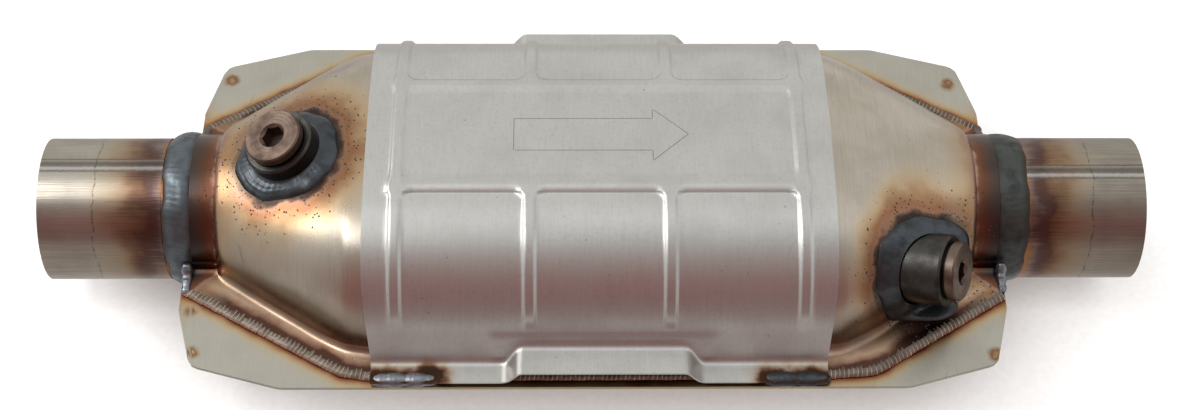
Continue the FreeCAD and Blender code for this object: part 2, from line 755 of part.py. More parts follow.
def boss(seat, reach, label):
    """Make a threaded boss that stands through the shell, with a chamfered rim."""
    body = seat.place(doc.addObject("PartDesign::Body", label + "_body"), -size.boss_inside)
    length = size.boss_inside + reach
    chamfer = size.boss_chamfer
    bore = size.boss_bore / 2
    sketch = polygon(body, label + "_profile", "XZ_Plane",
                     [(bore, 0.0), (boss_radius, 0.0), (boss_radius, length - chamfer),
                      (boss_radius - chamfer, length), (bore, length)])
    feature = body.newObject("PartDesign::Revolution", label + "_turn")
    feature.Profile = sketch
    feature.ReferenceAxis = (sketch, ["V_Axis"])
    feature.Angle = 360
    return finished(body, label)


def boss_weld(seat, reach, cover, blank, label):
    """Make the weld that follows the shell's surface round a boss."""
    rod = seat.cylinder(label + "_reach", boss_radius + size.boss_weld_width, -size.boss_inside, reach)
    core = seat.cylinder(label + "_core", boss_radius + 0.3 * size.boss_clearance,
                         -size.boss_inside - 10.0, reach + 10.0)
    pad_of_weld = common(label + "_cover", cover, rod)
    return finished(cut(label + "_cut", pad_of_weld, fuse(label + "_tools", [blank, core])), label)


def washer(seat, reach, label):
    """Make the sealing ring between a boss's rim and its plug's head."""
    body = seat.place(doc.addObject("PartDesign::Body", label + "_body"), reach)
    sketch = new_sketch(body, label + "_outline", "XY_Plane")
    for index, (diameter, name) in enumerate(((size.washer_diameter, "outer"), (size.boss_bore, "inner"))):
        sketch.addGeometry(Part.Circle(V(), V(0, 0, 1), diameter.value / 2), False)
        add_all(sketch, [("Coincident", index, 3, -1, 1)])
        set_length(sketch, "Radius", index, diameter / 2, name)
    pad(body, sketch, size.washer_height, label + "_pad")
    return finished(body, label)


def plug(seat, reach, label):
    """Make a screw plug with a round head and a hexagon socket."""
    body = seat.place(doc.addObject("PartDesign::Body", label + "_body"), reach + size.washer_height)
    head = size.plug_collar_diameter / 2
    thread = size.plug_thread_diameter / 2
    height = size.plug_collar_height
    chamfer = size.plug_rim_chamfer
    bottom = -(size.plug_thread_length + size.washer_height)
    bevel = size.plug_socket_bevel / 2
    socket = size.plug_socket_width / 2
    sketch = polygon(body, label + "_profile", "XZ_Plane",
                     [(0.0, bottom), (thread - 1.0, bottom), (thread, bottom + 1.0), (thread, 0.0),
                      (head, 0.0), (head, height - chamfer), (head - chamfer, height), (bevel, height),
                      (socket, height - (bevel - socket)), (0.0, height - (bevel - socket))])
    feature = body.newObject("PartDesign::Revolution", label + "_turn")
    feature.Profile = sketch
    feature.ReferenceAxis = (sketch, ["V_Axis"])
    feature.Angle = 360
    doc.recompute()
    corner = size.plug_socket_width / math.sqrt(3.0)
    half = size.plug_socket_width / 2
    hexagon = polygon(body, label + "_socket", "XY_Plane",
                      [(corner, 0.0), (corner / 2, half), (-corner / 2, half),
                       (-corner, 0.0), (-corner / 2, -half), (corner / 2, -half)], station=height)
    pocket = body.newObject("PartDesign::Pocket", label + "_socket_pocket")
    pocket.Profile = hexagon
    bind(pocket, "Length", size.plug_socket_depth)
    return finished(body, label)


class PressedArch:
    """The heat shield's outline across the pipes: walls on feet, round sides, two lengthwise ribs and a panel.

    Its sides, lengthwise ribs and panel each lie at the sheet's own level or are pressed outwards.
    """

    # Edges in order round the outline, with the points where the run enters and leaves each one
    EDGES = (
        ("base", 1, 2), ("foot", 2, 1), ("wall", 1, 2), ("fade", 1, 2), ("side", 1, 2), ("top", 1, 2),
        ("outer_flank", 1, 2), ("crown", 1, 2), ("inner_flank", 1, 2), ("panel", 1, 2),
        ("inner_flank_2", 1, 2), ("crown_2", 1, 2), ("outer_flank_2", 1, 2), ("top_2", 1, 2),
        ("side_2", 1, 2), ("fade_2", 1, 2), ("wall_2", 1, 2), ("foot_2", 2, 1),
    )

    def __init__(self, growth, side_rise=0.0, rib_rise=0.0, panel_rise=0.0):
        self.foot_radius = size.shield_foot_radius - growth
        self.base = skirt_top + growth
        self.level = size.shield_side_level
        self.reach = size.shield_half_width - size.shield_side_radius
        climb = size.shield_wall_level - self.level
        plain_radius = size.shield_side_radius + growth
        self.wall_half = self.reach + root(plain_radius * plain_radius - climb * climb)
        self.side_radius = size.shield_side_radius + growth + side_rise
        rise = size.shield_half_height - self.level
        spread = rise * rise + self.reach * self.reach - size.shield_side_radius * size.shield_side_radius
        crown_radius = spread / (2 * (rise - size.shield_side_radius))
        self.centre = size.shield_half_height - crown_radius
        self.top_radius = crown_radius + growth + side_rise
        self.rib_radius = crown_radius + growth + rib_rise
        self.panel_radius = crown_radius + growth + panel_rise
        foot = size.rib_width / 2 + 0.5 * growth
        crown = size.rib_crown_width / 2 + 0.5 * growth
        self.rib_stops = [size.long_rib_side + place for place in (foot, crown, -crown, -foot)]

    def spot(self, radius, across):
        """Return the point of a circle about the crown's centre at a distance from the centre plane."""
        return V(across, self.centre.value + math.sqrt(radius.value ** 2 - across ** 2), 0)

    def wall_lean(self):
        """Return the angle between the vertical and the wall that runs down onto the foot's bend."""
        across = size.shield_foot_half.value - self.wall_half.value
        down = size.shield_wall_level.value - self.base.value - self.foot_radius.value
        return math.atan2(across, down) - math.asin(self.foot_radius.value / math.hypot(across, down))

    def right_points(self):
        """Return the outline's corners on the right, from the foot to the panel."""
        foot_half = size.shield_foot_half.value
        foot = self.foot_radius.value
        base = self.base.value
        level = self.level.value
        lean = self.wall_lean()
        side = self.side_radius.value
        reach = self.reach.value
        fade = size.rib_fade_level.value - level
        turn = math.atan2(level - self.centre.value, reach)
        stops = [stop.value for stop in self.rib_stops]
        return [
            V(foot_half, base, 0),
            V(foot_half - foot * math.cos(lean), base + foot - foot * math.sin(lean), 0),
            V(self.wall_half.value, size.shield_wall_level.value, 0),
            V(reach + math.sqrt(side ** 2 - fade ** 2), level + fade, 0),
            V(reach + side * math.cos(turn), level + side * math.sin(turn), 0),
            self.spot(self.top_radius, stops[0]), self.spot(self.rib_radius, stops[1]),
            self.spot(self.rib_radius, stops[2]), self.spot(self.panel_radius, stops[3]),
        ]

    def shapes(self):
        """Return the outline's lines and arcs, in the order of EDGES."""
        right = self.right_points()
        left = [V(-point.x, point.y, 0) for point in reversed(right)]
        run = right + left
        foot_half = size.shield_foot_half.value
        foot = self.foot_radius.value
        foot_up = self.base.value + foot
        lean = self.wall_lean()
        level = self.level.value
        reach = self.reach.value
        centre = V(0, self.centre.value, 0)

        def arc_between(middle, radius, start, end):
            return arc(middle, radius, math.atan2(start.y - middle.y, start.x - middle.x),
                       math.atan2(end.y - middle.y, end.x - middle.x))

        shapes = [Part.LineSegment(run[-1], run[0])]
        for index in range(len(run) - 1):
            shapes.append(Part.LineSegment(run[index], run[index + 1]))
        shapes[1] = arc(V(foot_half, foot_up, 0), foot, math.pi + lean, 1.5 * math.pi)
        shapes[17] = arc(V(-foot_half, foot_up, 0), foot, 1.5 * math.pi, 2 * math.pi - lean)
        shapes[4] = arc_between(V(reach, level, 0), self.side_radius.value, run[3], run[4])
        shapes[14] = arc_between(V(-reach, level, 0), self.side_radius.value, run[13], run[14])
        shapes[5] = arc_between(centre, self.top_radius.value, run[4], run[5])
        shapes[13] = arc_between(centre, self.top_radius.value, run[12], run[13])
        shapes[9] = arc_between(centre, self.panel_radius.value, run[8], run[9])
        return shapes

    def draw(self, body, label, station):
        """Draw the outline as a closed sketch across the pipes' axis."""
        sketch = new_sketch(body, label, "YZ_Plane", station)
        sketch.addGeometry(self.shapes(), False)
        number = {name: index for index, (name, _, _) in enumerate(self.EDGES)}
        tangent = (number["foot"], number["side"], number["top_2"], number["wall_2"])
        count = len(self.EDGES)
        for index, (_, _, leave) in enumerate(self.EDGES):
            follower = (index + 1) % count
            kind = "Tangent" if index in tangent else "Coincident"
            add_all(sketch, [(kind, index, leave, follower, self.EDGES[follower][1])])
        rib_circle = sketch.addGeometry(
            Part.Circle(V(0, self.centre.value, 0), V(0, 0, 1), self.rib_radius.value), True)
        for mark, sign in (("", 1), ("_2", -1)):
            foot = number["foot" + mark]
            wall = number["wall" + mark]
            side = number["side" + mark]
            enter, leave = (1, 2) if sign == 1 else (2, 1)
            add_all(sketch, [("Vertical", foot, 3, foot, 2 if sign == 1 else 1)])
            pin_point(sketch, foot, 3, sign * size.shield_foot_half, None, "foot_centre" + mark)
            pin_point(sketch, wall, leave, sign * self.wall_half, size.shield_wall_level, "wall_top" + mark)
            pin_point(sketch, side, 3, sign * self.reach, self.level, "side_centre" + mark)
            set_length(sketch, "Radius", foot, self.foot_radius, "foot_radius" + mark)
            set_length(sketch, "Radius", side, self.side_radius, "side_radius" + mark)
            pin_point(sketch, side, enter, None, size.rib_fade_level, "fade" + mark)
            add_all(sketch, [("Coincident", number["top" + mark], 3, rib_circle, 3)])
            ends = [(number["top" + mark], leave), (number["outer_flank" + mark], leave),
                    (number["crown" + mark], leave), (number["inner_flank" + mark], leave)]
            for place, ((geometry, point), stop) in enumerate(zip(ends, self.rib_stops)):
                pin_point(sketch, geometry, point, sign * stop, None, "stop_{}{}".format(place, mark))
            add_all(sketch, [("PointOnObject", number["crown" + mark], 1, rib_circle),
                             ("PointOnObject", number["crown" + mark], 2, rib_circle)])
        add_all(sketch, [("Coincident", number["panel"], 3, rib_circle, 3), ("Horizontal", 0)])
        pin_point(sketch, rib_circle, 3, 0.0, self.centre, "crown_centre")
        set_length(sketch, "Radius", rib_circle, self.rib_radius, "rib_radius")
        set_length(sketch, "Radius", number["panel"], self.panel_radius, "panel_radius")
        pin_point(sketch, 0, 1, None, self.base, "base")
        return sketch


def shield_form(label, growth):
    """Make the solid under the shield's pressed surface, with its ribs, grown outwards or inwards."""
    body = new_body(label)
    rise = size.rib_height
    foot = size.rib_width / 2 + 0.5 * growth
    crown = size.rib_crown_width / 2 + 0.5 * growth
    plain = PressedArch(growth)
    field = PressedArch(growth, rib_rise=rise)
    end_crown = PressedArch(growth, rise, rise, rise)
    side_crown = PressedArch(growth, rise, rise)
    half = [(size.shield_length / 2, plain), (size.end_rib_station + foot, plain),
            (size.end_rib_station + crown, end_crown), (size.end_rib_station - crown, end_crown),
            (size.end_rib_station - foot, field), (size.side_rib_station + foot, field),
            (size.side_rib_station + crown, side_crown), (size.side_rib_station - crown, side_crown),
            (size.side_rib_station - foot, field)]
    stations = [(-station, arch) for station, arch in half] + half[::-1]
    sections = [arch.draw(body, "{}_{}".format(label, index), size.shield_centre + station)
                for index, (station, arch) in enumerate(stations)]
    loft(body, sections, label + "_loft", straight=True)
    return body


def skirt_outline(top, tunnel_top, foot_half, top_half, low):
    """Return the skirts' outline seen from the side, with the raised tunnel in the middle."""
    centre = size.tunnel_centre
    left = size.shield_centre - size.shield_length / 2 + size.skirt_setback
    right = size.shield_centre + size.shield_length / 2 - size.skirt_setback
    return [(left, low), (left, top), (centre - foot_half, top), (centre - top_half, tunnel_top),
            (centre + top_half, tunnel_top), (centre + foot_half, top), (right, top), (right, low)]


def heat_shield():
    """Press the heat shield: ribbed arch, skirts along both flanges and a raised tunnel in each."""
    sheet = size.shield_thickness
    skirt = new_body("skirt")
    outline = skirt_outline(skirt_top, size.tunnel_height, size.tunnel_foot_half, size.tunnel_top_half,
                            size.skirt_underside)
    sketch = polygon(skirt, "skirt_outline", "XZ_Plane", outline, station=-size.skirt_half_width)
    pad(skirt, sketch, 2 * size.skirt_half_width, "skirt_pad")
    tunnel = new_body("tunnel")
    centre = size.tunnel_centre
    below = size.skirt_underside - 2.0
    narrow = size.tunnel_foot_half - sheet
    top_half = size.tunnel_top_half - 0.5 * sheet
    gap = polygon(tunnel, "tunnel_outline", "XZ_Plane",
                  [(centre - narrow, below), (centre - narrow, size.skirt_underside),
                   (centre - top_half, size.tunnel_height - sheet),
                   (centre + top_half, size.tunnel_height - sheet),
                   (centre + narrow, size.skirt_underside), (centre + narrow, below)],
                  station=-size.flange_half_width)
    pad(tunnel, gap, 2 * size.flange_half_width, "tunnel_pad")
    outer = fuse("shield_outer", [shield_form("shield_face", 0.0 * sheet), skirt])
    inner = fuse("shield_inner", [shield_form("shield_back", -sheet), tunnel])
    pressed = cut("heat_shield_cut", outer, inner)
    return finished(common("heat_shield_trim", pressed, shield_trim()), "heat_shield")


def shield_trim():
    """Make the block that the shield's slanted ends are trimmed to."""
    body = new_body("trim")
    half = size.shield_length / 2
    short = half - size.skirt_setback
    middle = size.shield_centre
    top = size.shield_half_height + 2 * size.rib_height
    low = -1.0
    corners = [(-short, low), (-short, skirt_top), (-half, size.shield_trim_level), (-half, top),
               (half, top), (half, size.shield_trim_level), (short, skirt_top), (short, low)]
    sketch = polygon(body, "trim_outline", "XZ_Plane", [(middle + along, up) for along, up in corners],
                     station=-2 * size.shield_half_width)
    pad(body, sketch, 4 * size.shield_half_width, "trim_pad")
    return body


def tack_weld(label, along, side, cutters):
    """Make the tack weld that holds the shield's skirt to the lower flange."""
    bead = doc.addObject("Part::Ellipsoid", label + "_bead")
    bind(bead, "Radius1", size.tack_height)
    bind(bead, "Radius2", size.tack_length / 2)
    bind(bead, "Radius3", size.tack_half_width)
    lift(bead, along=along, across=side * size.tack_side, up=size.tack_level)
    return finished(cut(label + "_cut", bead, cutters), label)


def oval(body, label, station, inset):
    """Draw the full oval outline inside the body, an inset away from the shell's outer face."""
    arch = shell_arch(1.0, 1.0).grown(-inset)
    sketch = new_sketch(body, label, "YZ_Plane", station)
    reach = (arch.half_width - arch.side_radius).value
    level = arch.side_level.value
    side = arch.side_radius.value
    crown = arch.crown_radius()
    crown_centre = arch.half_height.value - crown.value
    turn = math.atan2(level - crown_centre, reach)
    half = arch.half_width.value
    sketch.addGeometry([
        Part.LineSegment(V(half, -level, 0), V(half, level, 0)),
        arc(V(reach, level, 0), side, 0, turn),
        arc(V(0, crown_centre, 0), crown.value, turn, math.pi - turn),
        arc(V(-reach, level, 0), side, math.pi - turn, math.pi),
        Part.LineSegment(V(-half, level, 0), V(-half, -level, 0)),
        arc(V(-reach, -level, 0), side, math.pi, math.pi + turn),
        arc(V(0, -crown_centre, 0), crown.value, math.pi + turn, 2 * math.pi - turn),
        arc(V(reach, -level, 0), side, 2 * math.pi - turn, 2 * math.pi),
    ], False)
    add_all(sketch, [("Tangent", index, 2, (index + 1) % 8, 1) for index in range(8)])
    add_all(sketch, [
        ("Vertical", 0), ("Vertical", 4), ("Equal", 1, 3), ("Equal", 1, 5), ("Equal", 1, 7),
        ("Symmetric", 1, 3, 5, 3, -1, 1),
    ])
    pin_point(sketch, 1, 3, arch.half_width - arch.side_radius, arch.side_level, "side_centre")
    set_length(sketch, "Radius", 1, arch.side_radius, "side_radius")
    set_length(sketch, "Radius", 2, crown, "crown_radius")
    return sketch


def oval_block(label, inset, start, length):
    body = new_body(label)
    pad(body, oval(body, label + "_outline", start, inset), length, label + "_pad")
    return body


def substrate(end):
    """Make a ceramic block with its support mat and mesh ring."""
    name = "front" if end == INLET else "rear"
    length = size.monolith_length
    gap = size.monolith_gap / 2
    start = -gap - length if end == INLET else gap
    outer_inset = size.shell_wall + size.mat_clearance
    block_inset = size.shell_wall + size.mat_thickness
    block = finished(oval_block(name + "_monolith", block_inset, start, length), name + "_monolith")
    mat = oval_block(name + "_mat_block", outer_inset, start + size.mat_setback, length - 2 * size.mat_setback)
    finished(cut(name + "_mat_cut", mat, block), name + "_mat")
    if end == INLET:
        seal_start = start + size.mat_setback - size.seal_clearance - size.seal_length
    else:
        seal_start = start + length - size.mat_setback + size.seal_clearance
    seal = oval_block(name + "_seal_block", outer_inset, seal_start, size.seal_length)
    finished(cut(name + "_seal_cut", seal, block), name + "_mesh_seal")


def check(objects):
    """Stop with a plain message where an object failed or a part has no sound solid."""
    for item in objects:
        if any(word in item.State for word in ("Invalid", "Error")):
            raise RuntimeError("{} failed: {}".format(item.Label, item.State))
    for part in parts:
        if part.Shape.isNull() or not part.Shape.isValid() or not part.Shape.Solids:
            raise RuntimeError("{} has no sound solid".format(part.Label))


def build():
    """Build every sub-part and write each one to its own file."""
    seats = (inlet_seat(), outlet_seat())
    reaches = (size.inlet_boss_reach, size.outlet_boss_reach)
    upper_flange, upper_blank, lower_flange = shells(seats)
    cover = shell_form("weld_cover", size.boss_weld_height)
    for seat, reach, end in zip(seats, reaches, ("inlet", "outlet")):
        boss(seat, reach, end + "_sensor_boss")
        boss_weld(seat, reach, cover, upper_blank, end + "_boss_weld")
        washer(seat, reach, end + "_plug_washer")
        plug(seat, reach, end + "_boss_plug")
    for end in (INLET, OUTLET):
        pipe(end)
        collar_weld(end)
        for side in (NEAR, FAR):
            corner_weld(end, side)
        substrate(end)
    beads = [seam_weld(side, upper_flange) for side in (NEAR, FAR)]
    shield = heat_shield()
    cutters = fuse("tack_cutters", [shield, lower_flange] + beads)
    for label, along, side in (("near_inlet_tack", -size.near_inlet_tack, NEAR),
                               ("near_outlet_tack", size.near_outlet_tack, NEAR),
                               ("far_inlet_tack", -size.far_inlet_tack, FAR),
                               ("far_outlet_tack", size.far_outlet_tack, FAR)):
        tack_weld(label, along, side, cutters)
    doc.recompute()
    check(doc.Objects)
    os.makedirs("parts", exist_ok=True)
    for part in parts:
        part.Shape.exportStep("parts/{}.step".format(part.Label))
    return parts


build()
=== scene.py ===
"""Looks of a welded catalytic converter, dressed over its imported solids.

Shapes are worked out in millimetres about the seam plane, with +X from the inlet to the outlet, +Y away from the
near side and +Z up. in_frame() puts them into the frame, in metres above the floor.
"""
import logging
import math
from dataclasses import dataclass
from enum import Enum

import bmesh
import bpy
import numpy as np
from mathutils import Matrix, Vector
from mathutils.bvhtree import BVHTree


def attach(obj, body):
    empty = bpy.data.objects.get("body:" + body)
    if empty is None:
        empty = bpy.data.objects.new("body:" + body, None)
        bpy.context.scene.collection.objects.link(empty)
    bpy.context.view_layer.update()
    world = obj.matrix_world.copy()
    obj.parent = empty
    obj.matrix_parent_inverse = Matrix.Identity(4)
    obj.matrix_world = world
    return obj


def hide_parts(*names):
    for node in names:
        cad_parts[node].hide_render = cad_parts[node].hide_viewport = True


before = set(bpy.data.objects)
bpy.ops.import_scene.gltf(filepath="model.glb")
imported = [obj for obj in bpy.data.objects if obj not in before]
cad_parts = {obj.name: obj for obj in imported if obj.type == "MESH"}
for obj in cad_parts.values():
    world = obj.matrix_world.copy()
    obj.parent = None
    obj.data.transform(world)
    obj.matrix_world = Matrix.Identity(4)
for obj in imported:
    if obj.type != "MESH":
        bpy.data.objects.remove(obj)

log = logging.getLogger("converter")

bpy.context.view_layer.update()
BODY = "root"
# Height of the seam plane above the floor
SEAM_LEVEL = 46.9
# Angle in degrees above which an edge is shaded sharp
SHARP = 35.0
# A distance in millimetres that stands for being far from any weld
FAR_OFF = 99.0


class End(Enum):
    """The two ends of the converter, along X."""

    INLET = -1
    OUTLET = 1


class Side(Enum):
    """The two long sides of the converter, across X."""

    NEAR = -1
    FAR = 1


class Half(Enum):
    """The two pressed shell halves, above and below the seam."""

    UPPER = 1
    LOWER = -1


def in_frame(points: np.ndarray) -> np.ndarray:
    """Turn millimetres about the seam plane into the frame's metres.

    Args:
        points: Rows of x, y and z.

    Returns:
        The same rows in metres, above the floor.
    """
    return (np.asarray(points, float) + (0.0, 0.0, SEAM_LEVEL)) / 1000.0


def linear(colour: str) -> tuple[float, float, float, float]:
    """Turn an sRGB hex value into the linear colour that a shader takes.

    Args:
        colour: The colour as "#RRGGBB".

    Returns:
        Red, green, blue and an alpha of one.
    """
    shares = [int(colour[place:place + 2], 16) / 255 for place in (1, 3, 5)]
    return tuple(share / 12.92 if share <= 0.04045 else ((share + 0.055) / 1.055) ** 2.4 for share in shares) + (1.0,)


def add_node(tree: bpy.types.NodeTree, kind: str, settings: dict | None = None,
             inputs: dict | None = None) -> bpy.types.Node:
    """Add a node with its settings, values and links.

    Args:
        tree: The tree that the node goes into.
        kind: The node's type.
        settings: Properties by name. "stops" fills a colour ramp with rows of position, colour and weight.
        inputs: Values, sockets or nodes, by input name or number. A node stands for its first output in use.

    Returns:
        The new node.
    """
    node = tree.nodes.new(kind)
    for name, value in (settings or {}).items():
        if name == "stops":
            stops = node.color_ramp.elements
            while len(stops) < len(value):
                stops.new(1.0)
            for stop, (place, colour, weight) in zip(stops, value):
                stop.position = place
            for stop, (place, colour, weight) in zip(stops, value):
                stop.color = linear(colour)[:3] + (weight,)
        else:
            setattr(node, name, value)
    for name, value in (inputs or {}).items():
        socket = node.inputs[name] if isinstance(name, int) else next(
            slot for slot in node.inputs if slot.enabled and slot.name == name)
        if isinstance(value, bpy.types.Node):
            value = next(slot for slot in value.outputs if slot.enabled)
        if isinstance(value, bpy.types.NodeSocket):
            tree.links.new(value, socket)
        else:
            socket.default_value = value
    return node


def smooth_curve(knots: np.ndarray, values: np.ndarray, places: np.ndarray) -> np.ndarray:
    """Run a smooth curve through knots without overshooting them.

    Args:
        knots: Rising positions.
        values: The curve's value at each knot.
        places: Where the curve is wanted.

    Returns:
        The curve's values at the places.
    """
    gaps = np.diff(knots)
    slopes = np.diff(values) / gaps
    lean = np.empty_like(values)
    lean[0], lean[-1] = slopes[0], slopes[-1]
    weight_before = 2 * gaps[1:] + gaps[:-1]
    weight_after = gaps[1:] + 2 * gaps[:-1]
    lean[1:-1] = (weight_before + weight_after) / (weight_before / slopes[:-1] + weight_after / slopes[1:])
    cell = np.clip(np.searchsorted(knots, places, side="right") - 1, 0, len(gaps) - 1)
    gap = gaps[cell]
    way = (places - knots[cell]) / gap
    return ((1 + 2 * way) * (1 - way) ** 2 * values[cell] + way * (1 - way) ** 2 * gap * lean[cell]
            + way ** 2 * (3 - 2 * way) * values[cell + 1] + way ** 2 * (way - 1) * gap * lean[cell + 1])


def ease(amount: np.ndarray) -> np.ndarray:
    """Ease from nought to one, and stay there outside that stretch."""
    share = np.clip(amount, 0.0, 1.0)
    return share * share * (3.0 - 2.0 * share)


def arc(centre: tuple[float, float], radius: float, start: float, end: float, count: int) -> np.ndarray:
    """Return points along an arc, as rows of two, from one angle in radians to another."""
    turn = np.linspace(start, end, count)
    return np.stack([centre[0] + radius * np.cos(turn), centre[1] + radius * np.sin(turn)], axis=1)


def rounded(corners: list[tuple[float, float, float]]) -> np.ndarray:
    """Round the corners of an open run.

    Args:
        corners: Rows of x, y and the corner's radius.

    Returns:
        The run's points, as rows of x and y.
    """
    run = [np.array(corners[0][:2], float)]
    for before, corner, after in zip(corners, corners[1:], corners[2:]):
        here = np.array(corner[:2], float)
        back = np.array(before[:2], float) - here
        ahead = np.array(after[:2], float) - here
        back /= np.linalg.norm(back)
        ahead /= np.linalg.norm(ahead)
        half = math.acos(float(np.clip(back @ ahead, -1, 1))) / 2
        reach = corner[2] / math.tan(half)
        for share in np.linspace(0, 1, 9):
            run.append(here + back * reach * (1 - share) ** 2 + ahead * reach * share ** 2)
    run.append(np.array(corners[-1][:2], float))
    return np.array(run)


def walk(run: np.ndarray, step: float) -> np.ndarray:
    """Return points at even steps along a run."""
    lengths = np.linalg.norm(np.diff(run, axis=0), axis=1)
    along = np.concatenate([[0.0], np.cumsum(lengths)])
    places = np.linspace(0.0, along[-1], max(2, round(along[-1] / step) + 1))
    return np.stack([np.interp(places, along, run[:, axis]) for axis in range(run.shape[1])], axis=1)


def distance_to(points: np.ndarray, run: np.ndarray) -> np.ndarray:
    """Return each point's distance to the nearest point of a run."""
    nearest = np.full(len(points), np.inf)
    for start in range(0, len(run), 64):
        gaps = np.linalg.norm(points[:, None, :] - run[None, start:start + 64, :], axis=2)
        nearest = np.minimum(nearest, gaps.min(axis=1))
    return nearest


def grid_faces(rows: int, columns: int, first: int = 0, flip: bool = False, ring: bool = False) -> np.ndarray:
    """Return the faces of a grid of points.

    Args:
        rows: Number of rows.
        columns: Number of points in a row.
        first: Number of the grid's first point.
        flip: Whether the faces look the other way.
        ring: Whether each row closes on itself.

    Returns:
        Rows of four point numbers.
    """
    row, column = np.meshgrid(np.arange(rows - 1), np.arange(columns if ring else columns - 1), indexing="ij")
    after = (column + 1) % columns
    faces = np.stack([row * columns + column, (row + 1) * columns + column,
                      (row + 1) * columns + after, row * columns + after], axis=-1).reshape(-1, 4) + first
    return faces[:, ::-1] if flip else faces


def shade(mesh: bpy.types.Mesh, crease: float) -> None:
    """Shade a mesh smooth, but for edges sharper than an angle in degrees."""
    mesh.shade_smooth()
    mesh.set_sharp_from_angle(angle=math.radians(crease))


def add_object(name: str, data: bpy.types.ID) -> bpy.types.Object:
    """Put a new object into the scene, at the origin."""
    made = bpy.data.objects.new(name, data)
    bpy.context.scene.collection.objects.link(made)
    return made


def new_piece(name: str, points: np.ndarray, faces: list, material: bpy.types.Material | None = None,
              crease: float = SHARP) -> bpy.types.Object:
    """Make a piece from points in millimetres about the seam plane.

    Args:
        name: The piece's name.
        points: Rows of x, y and z.
        faces: Rows of point numbers.
        material: What the piece is made of.
        crease: Angle in degrees above which an edge is shaded sharp.

    Returns:
        The object, at the origin, with its place in its mesh.
    """
    mesh = bpy.data.meshes.new(name)
    mesh.from_pydata(in_frame(points).tolist(), [], [list(map(int, face)) for face in faces])
    if material is not None:
        mesh.materials.append(material)
    shade(mesh, crease)
    return add_object(name, mesh)


def merge_close(piece: bpy.types.Object, gap: float = 0.002) -> None:
    """Join a piece's points that lie closer than a gap in millimetres."""
    work = bmesh.new()
    work.from_mesh(piece.data)
    bmesh.ops.remove_doubles(work, verts=work.verts, dist=gap / 1000.0)
    work.to_mesh(piece.data)
    work.free()


def face_outwards(piece: bpy.types.Object) -> None:
    """Turn the faces of a closed piece outwards."""
    work = bmesh.new()
    work.from_mesh(piece.data)
    bmesh.ops.recalc_face_normals(work, faces=work.faces)
    work.to_mesh(piece.data)
    work.free()


def plain_mesh(piece: bpy.types.Object, crease: float = SHARP) -> None:
    """Turn a piece with its modifiers into a plain mesh, and drop the modifiers.

    Args:
        piece: The piece.
        crease: Angle in degrees above which an edge is shaded sharp.
    """
    graph = bpy.context.evaluated_depsgraph_get()
    made = bpy.data.meshes.new_from_object(piece.evaluated_get(graph), preserve_all_data_layers=True, depsgraph=graph)
    piece.modifiers.clear()
    piece.data = made
    shade(made, crease)


def thicken(piece: bpy.types.Object, sheet: float) -> None:
    """Give a surface the thickness of its sheet, inwards, in millimetres."""
    wall = piece.modifiers.new("sheet", "SOLIDIFY")
    wall.thickness = sheet / 1000.0
    wall.offset = -1.0
    wall.use_even_offset = False
    plain_mesh(piece)


def open_tree(name: str, start: str, inputs: dict[str, str], result: str) -> bpy.types.NodeTree:
    """Open a geometry tree with named inputs.

    Args:
        name: The tree's name.
        start: Name of the geometry that goes in.
        inputs: The kind of each further input, by its name.
        result: Name of the geometry that comes out.

    Returns:
        The tree, without nodes.
    """
    tree = bpy.data.node_groups.new(name, "GeometryNodeTree")
    tree.interface.new_socket(name=start, in_out="INPUT", socket_type="NodeSocketGeometry")
    for label, kind in inputs.items():
        tree.interface.new_socket(name=label, in_out="INPUT", socket_type="NodeSocket" + kind)
    tree.interface.new_socket(name=result, in_out="OUTPUT", socket_type="NodeSocketGeometry")
    return tree


def run_tree(piece: bpy.types.Object, tree: bpy.types.NodeTree, values: dict, crease: float) -> None:
    """Run a geometry tree on a piece, and keep the result as its plain mesh.

    Args:
        piece: The piece.
        tree: The tree.
        values: The values of the tree's inputs, by name.
        crease: Angle in degrees above which an edge is shaded sharp.
    """
    work = piece.modifiers.new(tree.name, "NODES")
    work.node_group = tree
    for socket in tree.interface.items_tree:
        if socket.in_out == "INPUT" and socket.name in values:
            work[socket.identifier] = values[socket.name]
    plain_mesh(piece, crease)


def points_of(piece: bpy.types.Object) -> np.ndarray:
    """Return a piece's points in millimetres about the seam plane."""
    flat = np.empty(len(piece.data.vertices) * 3, np.float32)
    piece.data.vertices.foreach_get("co", flat)
    return flat.reshape(-1, 3).astype(float) * 1000.0 - (0.0, 0.0, SEAM_LEVEL)


def mark(piece: bpy.types.Object, name: str, values: np.ndarray) -> None:
    """Store one number at each point of a piece, for its material to read."""
    layer = piece.data.attributes.new(name, "FLOAT", "POINT")
    layer.data.foreach_set("value", np.asarray(values, np.float32))


def hand_over(piece: bpy.types.Object, slot: str, *nodes: str) -> bpy.types.Object:
    """Tie a finished piece to the body, and hide the nodes that it stands for."""
    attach(piece, BODY)
    if nodes:
        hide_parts(*nodes)
    log.info("%s: %d faces", piece.name, len(piece.data.polygons))
    return piece


# Finishes

def ramp_over(tree: bpy.types.NodeTree, colour: bpy.types.Node, share: bpy.types.Node,
              stops: tuple) -> bpy.types.Node:
    """Lay a row of colours over a colour.

    Args:
        tree: The finish's tree.
        colour: The colour so far.
        share: The place in the row, from nought to one.
        stops: Rows of place, sRGB hex value and weight.

    Returns:
        The tinted colour.
    """
    ramp = add_node(tree, "ShaderNodeValToRGB", {"stops": stops}, {"Fac": share})
    return add_node(tree, "ShaderNodeMix", {"data_type": "RGBA"},
                    {"Factor": ramp.outputs["Alpha"], "A": colour, "B": ramp.outputs["Color"]})


